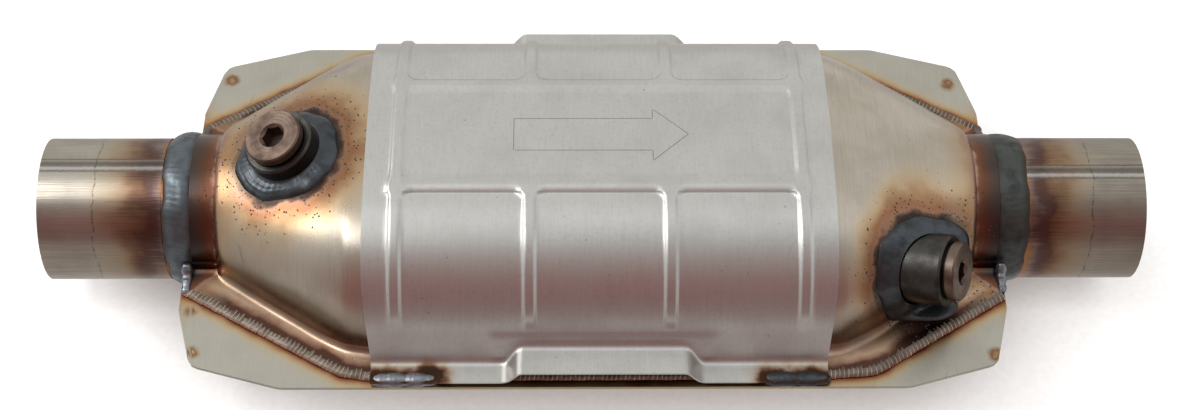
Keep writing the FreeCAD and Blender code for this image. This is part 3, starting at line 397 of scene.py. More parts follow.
@dataclass(frozen=True)
class Finish:
    """A surface of the converter, as a material that is made once."""

    name: str
    metallic: float = 1.0
    roughness: float = 0.4

    def material(self) -> bpy.types.Material:
        """Return the finish's material, made on first use."""
        ready = bpy.data.materials.get(self.name)
        if ready is None:
            ready = bpy.data.materials.new(self.name)
            ready.use_nodes = True
            tree = ready.node_tree
            tree.nodes.clear()
            shader = add_node(tree, "ShaderNodeBsdfPrincipled",
                              inputs={"Metallic": self.metallic, "Roughness": self.roughness})
            add_node(tree, "ShaderNodeOutputMaterial", inputs={"Surface": shader})
            self.lay(tree, shader)
        return ready

    def lay(self, tree: bpy.types.NodeTree, shader: bpy.types.Node) -> None:
        """Lay the finish's pattern onto its shader."""
        raise NotImplementedError

    def millimetres(self, tree: bpy.types.NodeTree) -> bpy.types.Node:
        """Return the place on the object, in millimetres."""
        place = add_node(tree, "ShaderNodeTexCoord")
        return add_node(tree, "ShaderNodeVectorMath", {"operation": "SCALE"},
                        {0: place.outputs["Object"], "Scale": 1000.0})

    def brushing(self, tree: bpy.types.NodeTree, place: bpy.types.Node,
                 spacing: tuple[float, float, float]) -> bpy.types.Node:
        """Return fine lines whose spacing in millimetres differs along X, Y and Z."""
        drawn = add_node(tree, "ShaderNodeMapping",
                         inputs={"Vector": place, "Scale": tuple(1.0 / step for step in spacing)})
        return add_node(tree, "ShaderNodeTexNoise",
                        inputs={"Vector": drawn, "Scale": 1.0, "Detail": 3.0, "Roughness": 0.55})

    def tarnish(self, tree: bpy.types.NodeTree, colour: bpy.types.Node | tuple, amount: bpy.types.Node,
                stretch: tuple[float, float], tint: str, most: float) -> bpy.types.Node:
        """Lay a tint over a colour where a pattern is strong.

        Args:
            tree: The finish's tree.
            colour: The colour so far.
            amount: The pattern.
            stretch: Where the tint starts and where it is full, in the pattern's own numbers.
            tint: The tint, as an sRGB hex value.
            most: The tint's full share.

        Returns:
            The tinted colour.
        """
        share = add_node(tree, "ShaderNodeMapRange", inputs={
            "Value": amount, "From Min": stretch[0], "From Max": stretch[1], "To Max": most})
        return add_node(tree, "ShaderNodeMix", {"data_type": "RGBA"},
                        {"Factor": share, "A": colour, "B": linear(tint)})

    def scratches(self, tree: bpy.types.NodeTree, place: bpy.types.Node, turn: float) -> bpy.types.Node:
        """Return a pattern that is strong along thin, slightly curved handling scratches, some 10 mm long.

        Args:
            tree: The finish's tree.
            place: The place in millimetres.
            turn: Way that they run, as degrees from X.

        Returns:
            The pattern, from nought to one.
        """
        bent = add_node(tree, "ShaderNodeTexNoise", inputs={"Vector": place, "Scale": 0.05, "Detail": 1.0})
        moved = add_node(tree, "ShaderNodeVectorMath", {"operation": "MULTIPLY_ADD"},
                         {0: bent.outputs["Color"], 1: (14.0, 14.0, 0.0), 2: place})
        turned = add_node(tree, "ShaderNodeVectorRotate", {"rotation_type": "Z_AXIS"},
                          {"Vector": moved, "Angle": -math.radians(turn)})
        drawn = add_node(tree, "ShaderNodeVectorMath", {"operation": "MULTIPLY"},
                         {0: turned, 1: (1 / 46.0, 1 / 1.9, 1 / 46.0)})
        cells = add_node(tree, "ShaderNodeTexVoronoi", inputs={"Vector": drawn, "Scale": 1.0})
        thin = add_node(tree, "ShaderNodeMapRange", inputs={
            "Value": cells.outputs["Distance"], "From Min": 0.13, "From Max": 0.06})
        lot = add_node(tree, "ShaderNodeSeparateColor", inputs={"Color": cells.outputs["Color"]})
        chosen = add_node(tree, "ShaderNodeMath", {"operation": "GREATER_THAN"}, {0: lot.outputs["Red"], 1: 0.82})
        return add_node(tree, "ShaderNodeMath", {"operation": "MULTIPLY"}, {0: thin, 1: chosen})

    def settle(self, tree: bpy.types.NodeTree, shader: bpy.types.Node, colour: bpy.types.Node,
               gloss: tuple[bpy.types.Node, float], relief: tuple[bpy.types.Node, float]) -> None:
        """Join a colour, an uneven gloss and a fine relief to the shader.

        Args:
            tree: The finish's tree.
            shader: Its shader.
            colour: The finished colour.
            gloss: The pattern that the roughness follows, and how far it strays.
            relief: The pattern that stands up, and its height in millimetres.
        """
        rough = add_node(tree, "ShaderNodeMapRange", inputs={
            "Value": gloss[0], "From Min": 0.3, "From Max": 0.7, "To Min": self.roughness - gloss[1],
            "To Max": self.roughness + gloss[1]})
        raised = add_node(tree, "ShaderNodeBump",
                          inputs={"Height": relief[0], "Strength": 0.5, "Distance": relief[1] / 1000.0})
        for source, name in ((colour, "Base Color"), (rough, "Roughness"), (raised, "Normal")):
            tree.links.new(next(slot for slot in source.outputs if slot.enabled), shader.inputs[name])


@dataclass(frozen=True)
class Temper:
    """Heat colours of steel beside a weld, by distance from it in millimetres.

    Thin oxide on stainless steel gives the eye straw at its coolest, then bronze, purple-red and dull grey next to
    the weld. The seam's row also paints a pale reflection strip and, over brown heat tint, a dark reflected band.
    """

    mark: str
    reach: float
    wander: float
    stops: tuple

    def over(self, tree: bpy.types.NodeTree, place: bpy.types.Node, colour: bpy.types.Node) -> bpy.types.Node:
        """Lay the heat colours, with any painted reflection in the row, over a colour.

        Args:
            tree: The finish's tree.
            place: The place in millimetres.
            colour: The steel's colour so far.

        Returns:
            The tinted colour.
        """
        far = add_node(tree, "ShaderNodeAttribute", {"attribute_name": self.mark})
        uneven = add_node(tree, "ShaderNodeTexNoise", inputs={"Vector": place, "Scale": 1 / 9.0, "Detail": 4.0})
        drift = add_node(tree, "ShaderNodeMapRange", inputs={
            "Value": uneven, "From Min": 0.3, "From Max": 0.7, "To Min": -self.wander, "To Max": self.wander})
        away = add_node(tree, "ShaderNodeMath", {"operation": "ADD"}, {0: far.outputs["Fac"], 1: drift})
        share = add_node(tree, "ShaderNodeMapRange", inputs={"Value": away, "From Max": self.reach})
        return ramp_over(tree, colour, share, self.stops)


@dataclass(frozen=True)
class SatinSheet(Finish):
    """Cold-rolled stainless sheet, left as rolled.

    It gives the eye an even satin grey with soft broad reflections, faint cross grain, a few smudges and specks,
    and brown burns beside its tack welds.
    """

    colour: str = "#CDCCC8"
    smudge: str = "#B3B0AB"
    tempers: tuple = ()

    def lay(self, tree: bpy.types.NodeTree, shader: bpy.types.Node) -> None:
        """Lay grain, smudges, scratches, small specks and heat colours."""
        place = self.millimetres(tree)
        # Rolled grain is some 0.05 mm apart; it is drawn 0.45 mm apart so that it shows
        grain = self.brushing(tree, place, (0.45, 12.0, 12.0))
        patches = add_node(tree, "ShaderNodeTexNoise", inputs={"Vector": place, "Scale": 1 / 18.0, "Detail": 4.0})
        colour = self.tarnish(tree, linear(self.colour), patches, (0.42, 0.78), self.smudge, 0.5)
        colour = self.tarnish(tree, colour, grain, (0.35, 0.7), self.smudge, 0.3)
        mottle = add_node(tree, "ShaderNodeTexNoise", inputs={"Vector": place, "Scale": 1 / 1.4, "Detail": 2.0})
        colour = self.tarnish(tree, colour, mottle, (0.5, 0.75), self.smudge, 0.35)
        colour = self.tarnish(tree, colour, self.scratches(tree, place, 35.0), (0.0, 1.0), "#9A9791", 0.3)
        specks = add_node(tree, "ShaderNodeTexVoronoi", inputs={"Vector": place, "Scale": 1 / 9.0})
        colour = self.tarnish(tree, colour, specks.outputs["Distance"], (0.05, 0.03), "#7E786E", 0.6)
        for temper in self.tempers:
            colour = temper.over(tree, place, colour)
        self.settle(tree, shader, colour, (patches, 0.05), (grain, 0.04))


@dataclass(frozen=True)
class TemperedSheet(Finish):
    """Stainless sheet, pressed, brushed round the pipes and coloured by the heat of its welds.

    It gives the eye a soft silk with bright bands along the brushing's highlights, under straw, bronze and dull
    brown heat colours, burnt flecks and handling scratches. On the cone, the seam's row adds a painted pale
    reflection strip and a dark reflected band beside the seam.
    """

    colour: str = "#C6BDAF"
    dull: str = "#978D7F"
    scratch: str = "#857C70"
    tempers: tuple = ()
    flecks: float = 0.5

    def lay(self, tree: bpy.types.NodeTree, shader: bpy.types.Node) -> None:
        """Lay brushing, heat colours, burnt flecks and scratches."""
        place = self.millimetres(tree)
        # Brushing is some 0.1 mm apart; it is drawn 0.45 mm apart so that it shows
        grain = self.brushing(tree, place, (0.45, 16.0, 16.0))
        patches = add_node(tree, "ShaderNodeTexNoise", inputs={"Vector": place, "Scale": 1 / 22.0, "Detail": 4.0})
        colour = self.tarnish(tree, linear(self.colour), patches, (0.4, 0.75), self.dull, 0.6)
        colour = self.tarnish(tree, colour, grain, (0.3, 0.7), self.dull, 0.3)
        for turn in (62.0, 100.0):
            colour = self.tarnish(tree, colour, self.scratches(tree, place, turn), (0.0, 1.0), self.scratch, 0.7)
        for temper in self.tempers:
            colour = temper.over(tree, place, colour)
        flecks = add_node(tree, "ShaderNodeTexVoronoi", inputs={"Vector": place, "Scale": 1 / 2.2})
        dots = add_node(tree, "ShaderNodeMapRange", inputs={
            "Value": flecks.outputs["Distance"], "From Min": 0.14, "From Max": 0.07, "To Max": self.flecks})
        few = add_node(tree, "ShaderNodeTexNoise", inputs={"Vector": place, "Scale": 1 / 14.0, "Detail": 3.0})
        some = add_node(tree, "ShaderNodeMapRange", inputs={"Value": few, "From Min": 0.52, "From Max": 0.6})
        burnt = add_node(tree, "ShaderNodeMath", {"operation": "MULTIPLY"}, {0: dots, 1: some})
        colour = self.tarnish(tree, colour, burnt, (0.0, 1.0), "#2E2520", 1.0)
        self.settle(tree, shader, colour, (patches, 0.07), (grain, 0.05))


@dataclass(frozen=True)
class DrawnPipe(Finish):
    """Welded stainless tube, drawn and left with its lines along it.

    It gives the eye long bright and dark bands with fine lines along the tube, its own seam as a dull ridge between
    two dark lines with a pale line painted down it as its highlight, a thin uneven mark round it, and heat colours
    beside its collar weld.
    """

    colour: str = "#B5AEA3"
    dull: str = "#857B6F"
    weld_edge: float = 171.0
    end: int = -1
    # Where the heat colours start and end, in millimetres from the weld
    heat_start: float = 4.5
    heat_end: float = 38.0
    # Where the tube's seam lies round it, in degrees, and half its width, in radians
    seam_turn: float = 115.0
    seam_half: float = 0.14
    mark_station: float = 200.0

    def lay(self, tree: bpy.types.NodeTree, shader: bpy.types.Node) -> None:
        """Lay drawn lines, heat colours, the tube's seam and the mark."""
        place = self.millimetres(tree)
        # Drawn lines are some 0.1 mm apart; they are drawn 0.5 mm apart so that they show
        grain = self.brushing(tree, place, (40.0, 0.5, 0.5))
        patches = add_node(tree, "ShaderNodeTexNoise", inputs={"Vector": place, "Scale": 1 / 12.0, "Detail": 4.0})
        parts = add_node(tree, "ShaderNodeSeparateXYZ", inputs={"Vector": place})
        colour = self.tarnish(tree, linear(self.colour), grain, (0.35, 0.7), self.dull, 0.5)
        colour = self.tarnish(tree, colour, patches, (0.4, 0.7), self.dull, 0.35)
        out = add_node(tree, "ShaderNodeMath", {"operation": "MULTIPLY_ADD"},
                       {0: parts.outputs["X"], 1: float(self.end), 2: -self.weld_edge})
        drift = add_node(tree, "ShaderNodeMapRange", inputs={
            "Value": patches, "From Min": 0.3, "From Max": 0.7, "To Min": -3.5, "To Max": 3.5})
        lines = add_node(tree, "ShaderNodeMath", {"operation": "MULTIPLY_ADD"}, {0: grain, 1: 9.0, 2: drift})
        away = add_node(tree, "ShaderNodeMath", {"operation": "ADD"}, {0: out, 1: lines})
        share = add_node(tree, "ShaderNodeMapRange", inputs={
            "Value": away, "From Min": self.heat_start, "From Max": self.heat_end})
        colour = ramp_over(tree, colour, share, (
            (0.0, "#A37650", 1.0), (0.07, "#7E6A62", 0.95), (0.16, "#5E4644", 0.95), (0.28, "#5C3F34", 0.95),
            (0.42, "#805E42", 0.85), (0.60, "#A08362", 0.6), (0.80, "#B0A083", 0.3), (1.0, "#B5AEA3", 0.0)))
        # The tube's own seam is a band along it, with a dark uneven line down each edge and a pale line painted
        # down it as the highlight of a ridge that has no relief
        level = add_node(tree, "ShaderNodeMath", {"operation": "SUBTRACT"}, {0: parts.outputs["Z"], 1: SEAM_LEVEL})
        turn = add_node(tree, "ShaderNodeMath", {"operation": "ARCTAN2"}, {0: level, 1: parts.outputs["Y"]})
        fine = add_node(tree, "ShaderNodeTexNoise", inputs={"Vector": place, "Scale": 1 / 1.6, "Detail": 3.0})
        jitter = add_node(tree, "ShaderNodeMath", {"operation": "MULTIPLY_ADD"}, {0: fine, 1: 0.03, 2: turn})
        off = add_node(tree, "ShaderNodeMath", {"operation": "SUBTRACT"},
                       {0: jitter, 1: math.radians(self.seam_turn) + 0.015})
        bands = add_node(tree, "ShaderNodeMapRange", inputs={
            "Value": off, "From Min": -self.seam_half, "From Max": self.seam_half})
        # Painted highlight: the pale stop at 0.66 across the band
        colour = ramp_over(tree, colour, bands, (
            (0.0, "#8A8078", 0.0), (0.10, "#4C4540", 0.75), (0.16, "#9C9690", 0.5), (0.34, "#55504E", 0.7),
            (0.52, "#6A6462", 0.65), (0.66, "#D2CFCA", 0.6), (0.84, "#55504C", 0.75), (0.92, "#8A8078", 0.0)))
        # A thin broken mark runs round the stub where it was parted
        bend = add_node(tree, "ShaderNodeTexNoise", inputs={"Vector": place, "Scale": 1 / 11.0, "Detail": 2.0})
        station = add_node(tree, "ShaderNodeMath", {"operation": "MULTIPLY_ADD"},
                           {0: bend, 1: 5.0, 2: parts.outputs["X"]})
        gap = add_node(tree, "ShaderNodeMath", {"operation": "SUBTRACT"},
                       {0: station, 1: self.end * self.mark_station + 2.5})
        line = add_node(tree, "ShaderNodeMath", {"operation": "ABSOLUTE"}, {0: gap})
        ragged = add_node(tree, "ShaderNodeMath", {"operation": "MULTIPLY_ADD"}, {0: fine, 1: 1.5, 2: line})
        colour = self.tarnish(tree, colour, ragged, (1.05, 0.72), "#4A3F38", 0.6)
        self.settle(tree, shader, colour, (grain, 0.06), (grain, 0.05))


@dataclass(frozen=True)
class WeldMetal(Finish):
    """Arc-welded steel bead under thin scale.

    It gives the eye dark lumpy metal with a soft sheen, thin bright lines painted on the ripples' crests as their
    highlights, and coppery burnt edges.
    """

    colour: str = "#5A5856"
    crest: str = "#A9A6A2"
    edge: str = "#5A3A2C"
    scale: str = "#2E2C2B"

    def lay(self, tree: bpy.types.NodeTree, shader: bpy.types.Node) -> None:
        """Lay scale, painted highlights on the ripple crests, and burnt edges."""
        place = self.millimetres(tree)
        patches = add_node(tree, "ShaderNodeTexNoise", inputs={"Vector": place, "Scale": 1 / 5.0, "Detail": 5.0})
        colour = self.tarnish(tree, linear(self.colour), patches, (0.42, 0.7), self.scale, 0.7)
        burnt = add_node(tree, "ShaderNodeAttribute", {"attribute_name": "edge"})
        colour = self.tarnish(tree, colour, burnt.outputs["Fac"], (0.6, 0.95), self.edge, 0.85)
        # Painted highlight: a bright colour where each bead marks the crests of its ripples
        bright = add_node(tree, "ShaderNodeAttribute", {"attribute_name": "crest"})
        colour = self.tarnish(tree, colour, bright.outputs["Fac"], (0.3, 1.0), self.crest, 0.9)
        fine = add_node(tree, "ShaderNodeTexNoise", inputs={"Vector": place, "Scale": 1 / 1.1, "Detail": 4.0})
        self.settle(tree, shader, colour, (patches, 0.1), (fine, 0.16))


@dataclass(frozen=True)
class TurnedSteel(Finish):
    """Turned low-carbon steel, blued and browned by heat.

    It gives the eye a smooth dark body with one soft long highlight, and fine tool rings round its axis.
    """

    colour: str = "#504E4B"
    stain: str = "#33302D"
    centre: tuple = (0.0, 0.0, 0.0)
    axis: tuple = (0.0, 0.0, 1.0)
    ring: float = 0.45

    def lay(self, tree: bpy.types.NodeTree, shader: bpy.types.Node) -> None:
        """Lay tool rings and stains about the turned axis."""
        place = self.millimetres(tree)
        from_centre = add_node(tree, "ShaderNodeVectorMath", {"operation": "SUBTRACT"},
                               {0: place, 1: tuple(in_frame(np.array(self.centre)) * 1000.0)})
        along = add_node(tree, "ShaderNodeVectorMath", {"operation": "DOT_PRODUCT"},
                         {0: from_centre, 1: self.axis})
        beside = add_node(tree, "ShaderNodeVectorMath", {"operation": "CROSS_PRODUCT"},
                          {0: from_centre, 1: self.axis})
        radius = add_node(tree, "ShaderNodeVectorMath", {"operation": "LENGTH"}, {0: beside})
        both = add_node(tree, "ShaderNodeMath", {"operation": "ADD"}, {0: along, 1: radius})
        rings = add_node(tree, "ShaderNodeMath", {"operation": "PINGPONG"}, {0: both, 1: self.ring})
        patches = add_node(tree, "ShaderNodeTexNoise", inputs={"Vector": place, "Scale": 1 / 6.0, "Detail": 4.0})
        colour = self.tarnish(tree, linear(self.colour), patches, (0.42, 0.68), self.stain, 0.8)
        self.settle(tree, shader, colour, (patches, 0.07), (rings, 0.05))


@dataclass(frozen=True)
class CoatedCeramic(Finish):
    """Extruded cordierite block with a wash coat.

    It gives the eye a matt pale net of square cells, with painted shade inside the open cells, and brown stains.
    """

    metallic: float = 0.0
    roughness: float = 0.85
    pitch: float = 1.27

    def lay(self, tree: bpy.types.NodeTree, shader: bpy.types.Node) -> None:
        """Lay a square pattern of cells, 400 to the square inch, and stains."""
        place = self.millimetres(tree)
        turned = add_node(tree, "ShaderNodeMapping", inputs={"Vector": place, "Rotation": (0.0, math.pi / 2, 0.0)})
        # Painted shade: the cells are dark where the open channels would lie in shade; the net is the ceramic's own
        # colour
        cells = add_node(tree, "ShaderNodeTexBrick", {"offset": 0.0, "squash": 1.0},
                         {"Vector": turned, "Scale": 1.0, "Brick Width": self.pitch,
                          "Row Height": self.pitch, "Mortar Size": 0.12, "Color1": linear("#2F2A24"),
                          "Color2": linear("#373029"), "Mortar": linear("#CFC4AE")})
        patches = add_node(tree, "ShaderNodeTexNoise", inputs={"Vector": place, "Scale": 1 / 9.0, "Detail": 3.0})
        colour = self.tarnish(tree, cells, patches, (0.4, 0.7), "#8F8068", 0.4)
        self.settle(tree, shader, colour, (patches, 0.05), (patches, 0.2))


@dataclass(frozen=True)
class FibreMat(Finish):
    """Needled ceramic fibre support mat.

    It gives the eye an off-white, quite matt felt of short crossing fibres.
    """

    metallic: float = 0.0
    roughness: float = 0.93

    def lay(self, tree: bpy.types.NodeTree, shader: bpy.types.Node) -> None:
        """Lay short fibres, drawn 0.5 mm apart so that they show."""
        place = self.millimetres(tree)
        fibres = self.brushing(tree, place, (3.0, 0.5, 0.5))
        colour = self.tarnish(tree, linear("#DAD4C6"), fibres, (0.7, 0.3), "#A79F8E", 1.0)
        self.settle(tree, shader, colour, (fibres, 0.05), (fibres, 0.3))


@dataclass(frozen=True)
class KnittedWire(Finish):
    """Knitted stainless wire ring, pressed flat.

    It gives the eye loops about 4 mm wide, in the wire's grey on top, with painted shade between them.
    """

    roughness: float = 0.45

    def lay(self, tree: bpy.types.NodeTree, shader: bpy.types.Node) -> None:
        """Lay crossing waves of wire."""
        place = self.millimetres(tree)
        waves = []
        for way in (1.0, -1.0):
            leaned = add_node(tree, "ShaderNodeMapping", inputs={"Vector": place, "Scale": (1.0, way, 1.0)})
            waves.append(add_node(tree, "ShaderNodeTexWave", {"bands_direction": "DIAGONAL"},
                                  {"Vector": leaned, "Scale": 0.16, "Distortion": 1.5}).outputs["Fac"])
        mesh = add_node(tree, "ShaderNodeMath", {"operation": "MAXIMUM"}, {0: waves[0], 1: waves[1]})
        # Painted shade: dark brown between the loops, where the gaps in the wire would lie in shade
        colour = self.tarnish(tree, linear("#A8A49C"), mesh, (0.9, 0.4), "#35312C", 1.0)
        self.settle(tree, shader, colour, (mesh, 0.05), (mesh, 0.4))


@dataclass(frozen=True)
class PaintedFloor(Finish):
    """Matt painted studio board, which gives the eye an even white."""

    metallic: float = 0.0
    roughness: float = 0.9

    def lay(self, tree: bpy.types.NodeTree, shader: bpy.types.Node) -> None:
        """Lay the board's even white with the faintest tooth."""
        tooth = add_node(tree, "ShaderNodeTexNoise",
                         inputs={"Vector": self.millimetres(tree), "Scale": 1 / 3.0, "Detail": 3.0})
        colour = self.tarnish(tree, linear("#F8F8F7"), tooth, (0.4, 0.8), "#F1F1F0", 1.0)
        self.settle(tree, shader, colour, (tooth, 0.02), (tooth, 0.01))


# Shapes

# Middles of the tack welds between the shield's skirts and the lower flange, as x and y
TACK_PLACES = ((-73.0, -82.9), (77.5, -82.9), (-73.5, 82.9), (77.5, 82.9))
# Height above the seam plane of the line that their heat spreads from
TACK_LEVEL = 2.4


@dataclass(frozen=True)
class PressedShell:
    """One pressed shell half: oval body, shouldered cones, necks and a flange on the seam plane."""

    half: Half
    neck_radius: float = 30.225
    body_half_width: float = 69.4
    body_half_height: float = 45.7
    neck_side_radius: float = 27.0
    body_side_radius: float = 43.7
    body_side_level: float = 0.25
    neck_wall_run: float = 0.8
    body_wall_run: float = 4.3
    foot_radius: float = 4.0
    sheet: float = 1.5
    inlet_neck_end: float = 159.3
    outlet_neck_end: float = 160.4
    inlet_crease: float = 149.5
    outlet_crease: float = 151.3
    body_station: float = 88.0
    rib_height: float = 1.2
    rib_width: float = 14.0
    rib_pitch: float = 46.0
    flange_half: float = 85.5
    shoulder_station: float = 121.0
    wing_end: float = 163.0
    wing_inside: float = 36.0
    flange_points: int = 15
    # How much tighter the sides are than the neck where the cone is still round, and the share it stays so for
    round_gap: float = 0.08
    round_share: float = 0.02
    rib_flank: float = 3.5
    # Share of the way from crease to body, then shares of the growth in width and height
    growth: tuple = ((0.0, 0.0, 0.0), (0.012, 0.045, 0.06), (0.035, 0.100, 0.135), (0.070, 0.150, 0.185),
                     (0.120, 0.205, 0.240), (0.480, 0.590, 0.610), (0.800, 0.909, 0.915), (0.890, 0.970, 0.972),
                     (1.0, 1.0, 1.0))

    def neck_end(self, end: End) -> float:
        """Return the distance from the middle to a neck's end."""
        return self.inlet_neck_end if end is End.INLET else self.outlet_neck_end

    def crease(self, end: End) -> float:
        """Return the distance from the middle to the crease between a neck and its cone."""
        return self.inlet_crease if end is End.INLET else self.outlet_crease

    def seam_corners(self, end: End, side: Side) -> list[tuple[float, float]]:
        """Return the upper flange's corners in one quarter, from the neck to the body."""
        if end is End.OUTLET and side is Side.NEAR:
            return [(self.outlet_neck_end, 43.2), (107.5, 77.6), (87.0, 79.3)]
        return [(self.neck_end(end), 40.5), (97.0, 77.8), (87.0, 79.3)]

    def seam_run(self, side: Side) -> np.ndarray:
        """Return the upper flange's edge along one side, as rows of x and y from the inlet to the outlet."""
        corners = [(-along, across, 9.0) for along, across in self.seam_corners(End.INLET, side)]
        corners += [(along, across, 9.0) for along, across in reversed(self.seam_corners(End.OUTLET, side))]
        run = rounded(corners)
        run[:, 1] *= side.value
        return run

    def flange_edge(self, side: Side, stations: np.ndarray) -> np.ndarray:
        """Return the flange's edge, as a distance from the centre plane, at stations along X."""
        if self.half is Half.UPPER:
            run = self.seam_run(side)
            return np.interp(stations, run[:, 0], np.abs(run[:, 1]))
        outline = rounded([(self.wing_end, self.wing_inside, 0.0), (self.wing_end, 50.0, 3.0), (156.4, 75.2, 6.0),
                           (self.shoulder_station, self.flange_half, 14.0), (0.0, self.flange_half, 0.0)])
        order = np.argsort(outline[1:, 0], kind="stable")
        return np.interp(np.abs(stations), outline[1:, 0][order], outline[1:, 1][order])

    def section(self, station: float) -> np.ndarray:
        """Return the outline across the pipes on the far side, from the crown to the foot.

        Args:
            station: Place along X.

        Returns:
            Rows of y and z, with z measured outwards from the seam plane.
        """
        end = End.OUTLET if station > 0 else End.INLET
        way = (self.crease(end) - abs(station)) / (self.crease(end) - self.body_station)
        way = min(max(way, 0.0), 1.0)
        knots = np.array(self.growth)
        wide = float(smooth_curve(knots[:, 0], knots[:, 1], np.array([way]))[0])
        high = float(smooth_curve(knots[:, 0], knots[:, 2], np.array([way]))[0])
        half_width = self.neck_radius + wide * (self.body_half_width - self.neck_radius)
        half_height = self.neck_radius + high * (self.body_half_height - self.neck_radius)
        side = self.neck_side_radius + high * (self.body_side_radius - self.neck_side_radius)
        still_round = math.exp(-way / self.round_share)
        side += still_round * (self.neck_radius - self.round_gap - side)
        level = high * self.body_side_level
        run = self.neck_wall_run + high * (self.body_wall_run - self.neck_wall_run)
        if self.half is Half.LOWER:
            for number in (-1, 0, 1):
                off = abs(station - number * self.rib_pitch)
                lift = ease(np.array((self.rib_width / 2 - off) / self.rib_flank))
                half_height += self.rib_height * float(lift)
        reach = half_width - side
        rise = half_height - level
        crown = (rise * rise + reach * reach - side * side) / (2 * (rise - side))
        middle = half_height - crown
        base = self.sheet
        across = side + self.foot_radius
        lean = math.asin((base + self.foot_radius - level) / math.hypot(across, run)) + math.atan2(run, across)
        turn = math.atan2(level - middle, reach)
        wall_top = np.array([reach + side * math.cos(lean), level + side * math.sin(lean)])
        wall_foot = wall_top + np.array([math.sin(lean), -math.cos(lean)]) * run
        bend = wall_foot + np.array([math.cos(lean), math.sin(lean)]) * self.foot_radius
        return np.concatenate([
            arc((0.0, middle), crown, math.pi / 2, turn, 16),
            arc((reach, level), side, turn, lean, 22)[1:],
            np.linspace(wall_top, wall_foot, 4)[1:],
            arc((bend[0], bend[1]), self.foot_radius, math.pi + lean, 1.5 * math.pi, 8)[1:]])

    def stations(self) -> np.ndarray:
        """Return the places along X where the shell's outline is taken, closest together past the crease."""
        rows = []
        for end in End:
            crease = self.crease(end)
            neck = np.linspace(self.neck_end(end), crease, 6)[:-1]
            shoulder = crease - np.concatenate([[0.0], np.geomspace(0.4, 6.0, 10)])
            cone = np.linspace(crease - 7.2, self.body_station, 46)
            rows.append(np.concatenate([neck, shoulder, cone]) * end.value)
        count = 41 if self.half is Half.UPPER else 161
        body = np.linspace(-self.body_station, self.body_station, count)[1:-1]
        return np.concatenate([rows[0], body, rows[1][::-1]])

    def surface(self) -> bpy.types.Object:
        """Make the shell's outer surface, from one flange edge over the crown to the other."""
        columns = np.linspace(0.0, 1.0, self.flange_points)
        level = np.full(self.flange_points, self.sheet)
        rows = []
        for station in self.stations():
            far = self.section(station)
            near = far[::-1] * (-1.0, 1.0)
            arch = np.concatenate([near[:-1], far])
            foot = far[-1, 0]
            edges = [float(self.flange_edge(side, np.array([station]))[0]) for side in Side]
            near_flange = np.stack([-(edges[0] + columns * (foot - edges[0])), level], axis=1)
            far_flange = np.stack([foot + columns * (edges[1] - foot), level], axis=1)
            whole = np.concatenate([near_flange[:-1], arch, far_flange[1:]])
            rows.append(np.concatenate([np.full((len(whole), 1), station), whole], axis=1))
        grid = np.array(rows)
        points = [grid.reshape(-1, 3)]
        faces = [grid_faces(grid.shape[0], grid.shape[1])]
        if self.half is Half.LOWER:
            for end in End:
                for side in Side:
                    wing = self.wing(end, side, grid)
                    faces.append(grid_faces(wing.shape[0], wing.shape[1], sum(len(part) for part in points)))
                    points.append(wing.reshape(-1, 3))
        stacked = np.concatenate(points)
        stacked[:, 2] *= self.half.value
        every_face = np.concatenate(faces)
        piece = new_piece("{}_shell_sheet".format(self.half.name.lower()), stacked,
                          every_face[:, ::-1] if self.half is Half.LOWER else every_face)
        merge_close(piece)
        return piece

    def wing(self, end: End, side: Side, grid: np.ndarray) -> np.ndarray:
        """Return the wing that runs past a neck's end, as rows of points that carry on from the flange."""
        row = grid[0] if end is End.INLET else grid[-1]
        inner = abs(row[self.flange_points - 1, 1])
        start = self.neck_end(end)
        places = np.linspace(start, self.wing_end, 7)
        share = (places - start) / (self.wing_end - start)
        inside = inner + share * (self.wing_inside - inner)
        edge = self.flange_edge(side, places)
        columns = np.linspace(0.0, 1.0, self.flange_points)
        across = inside[:, None] + columns[None, :] * (edge - inside)[:, None]
        if side is Side.NEAR:
            across = -across[:, ::-1]
        along = np.repeat((places * end.value)[:, None], self.flange_points, axis=1)
        wing = np.stack([along, across, np.full_like(across, self.sheet)], axis=-1)
        return wing[::-1] if end is End.INLET else wing


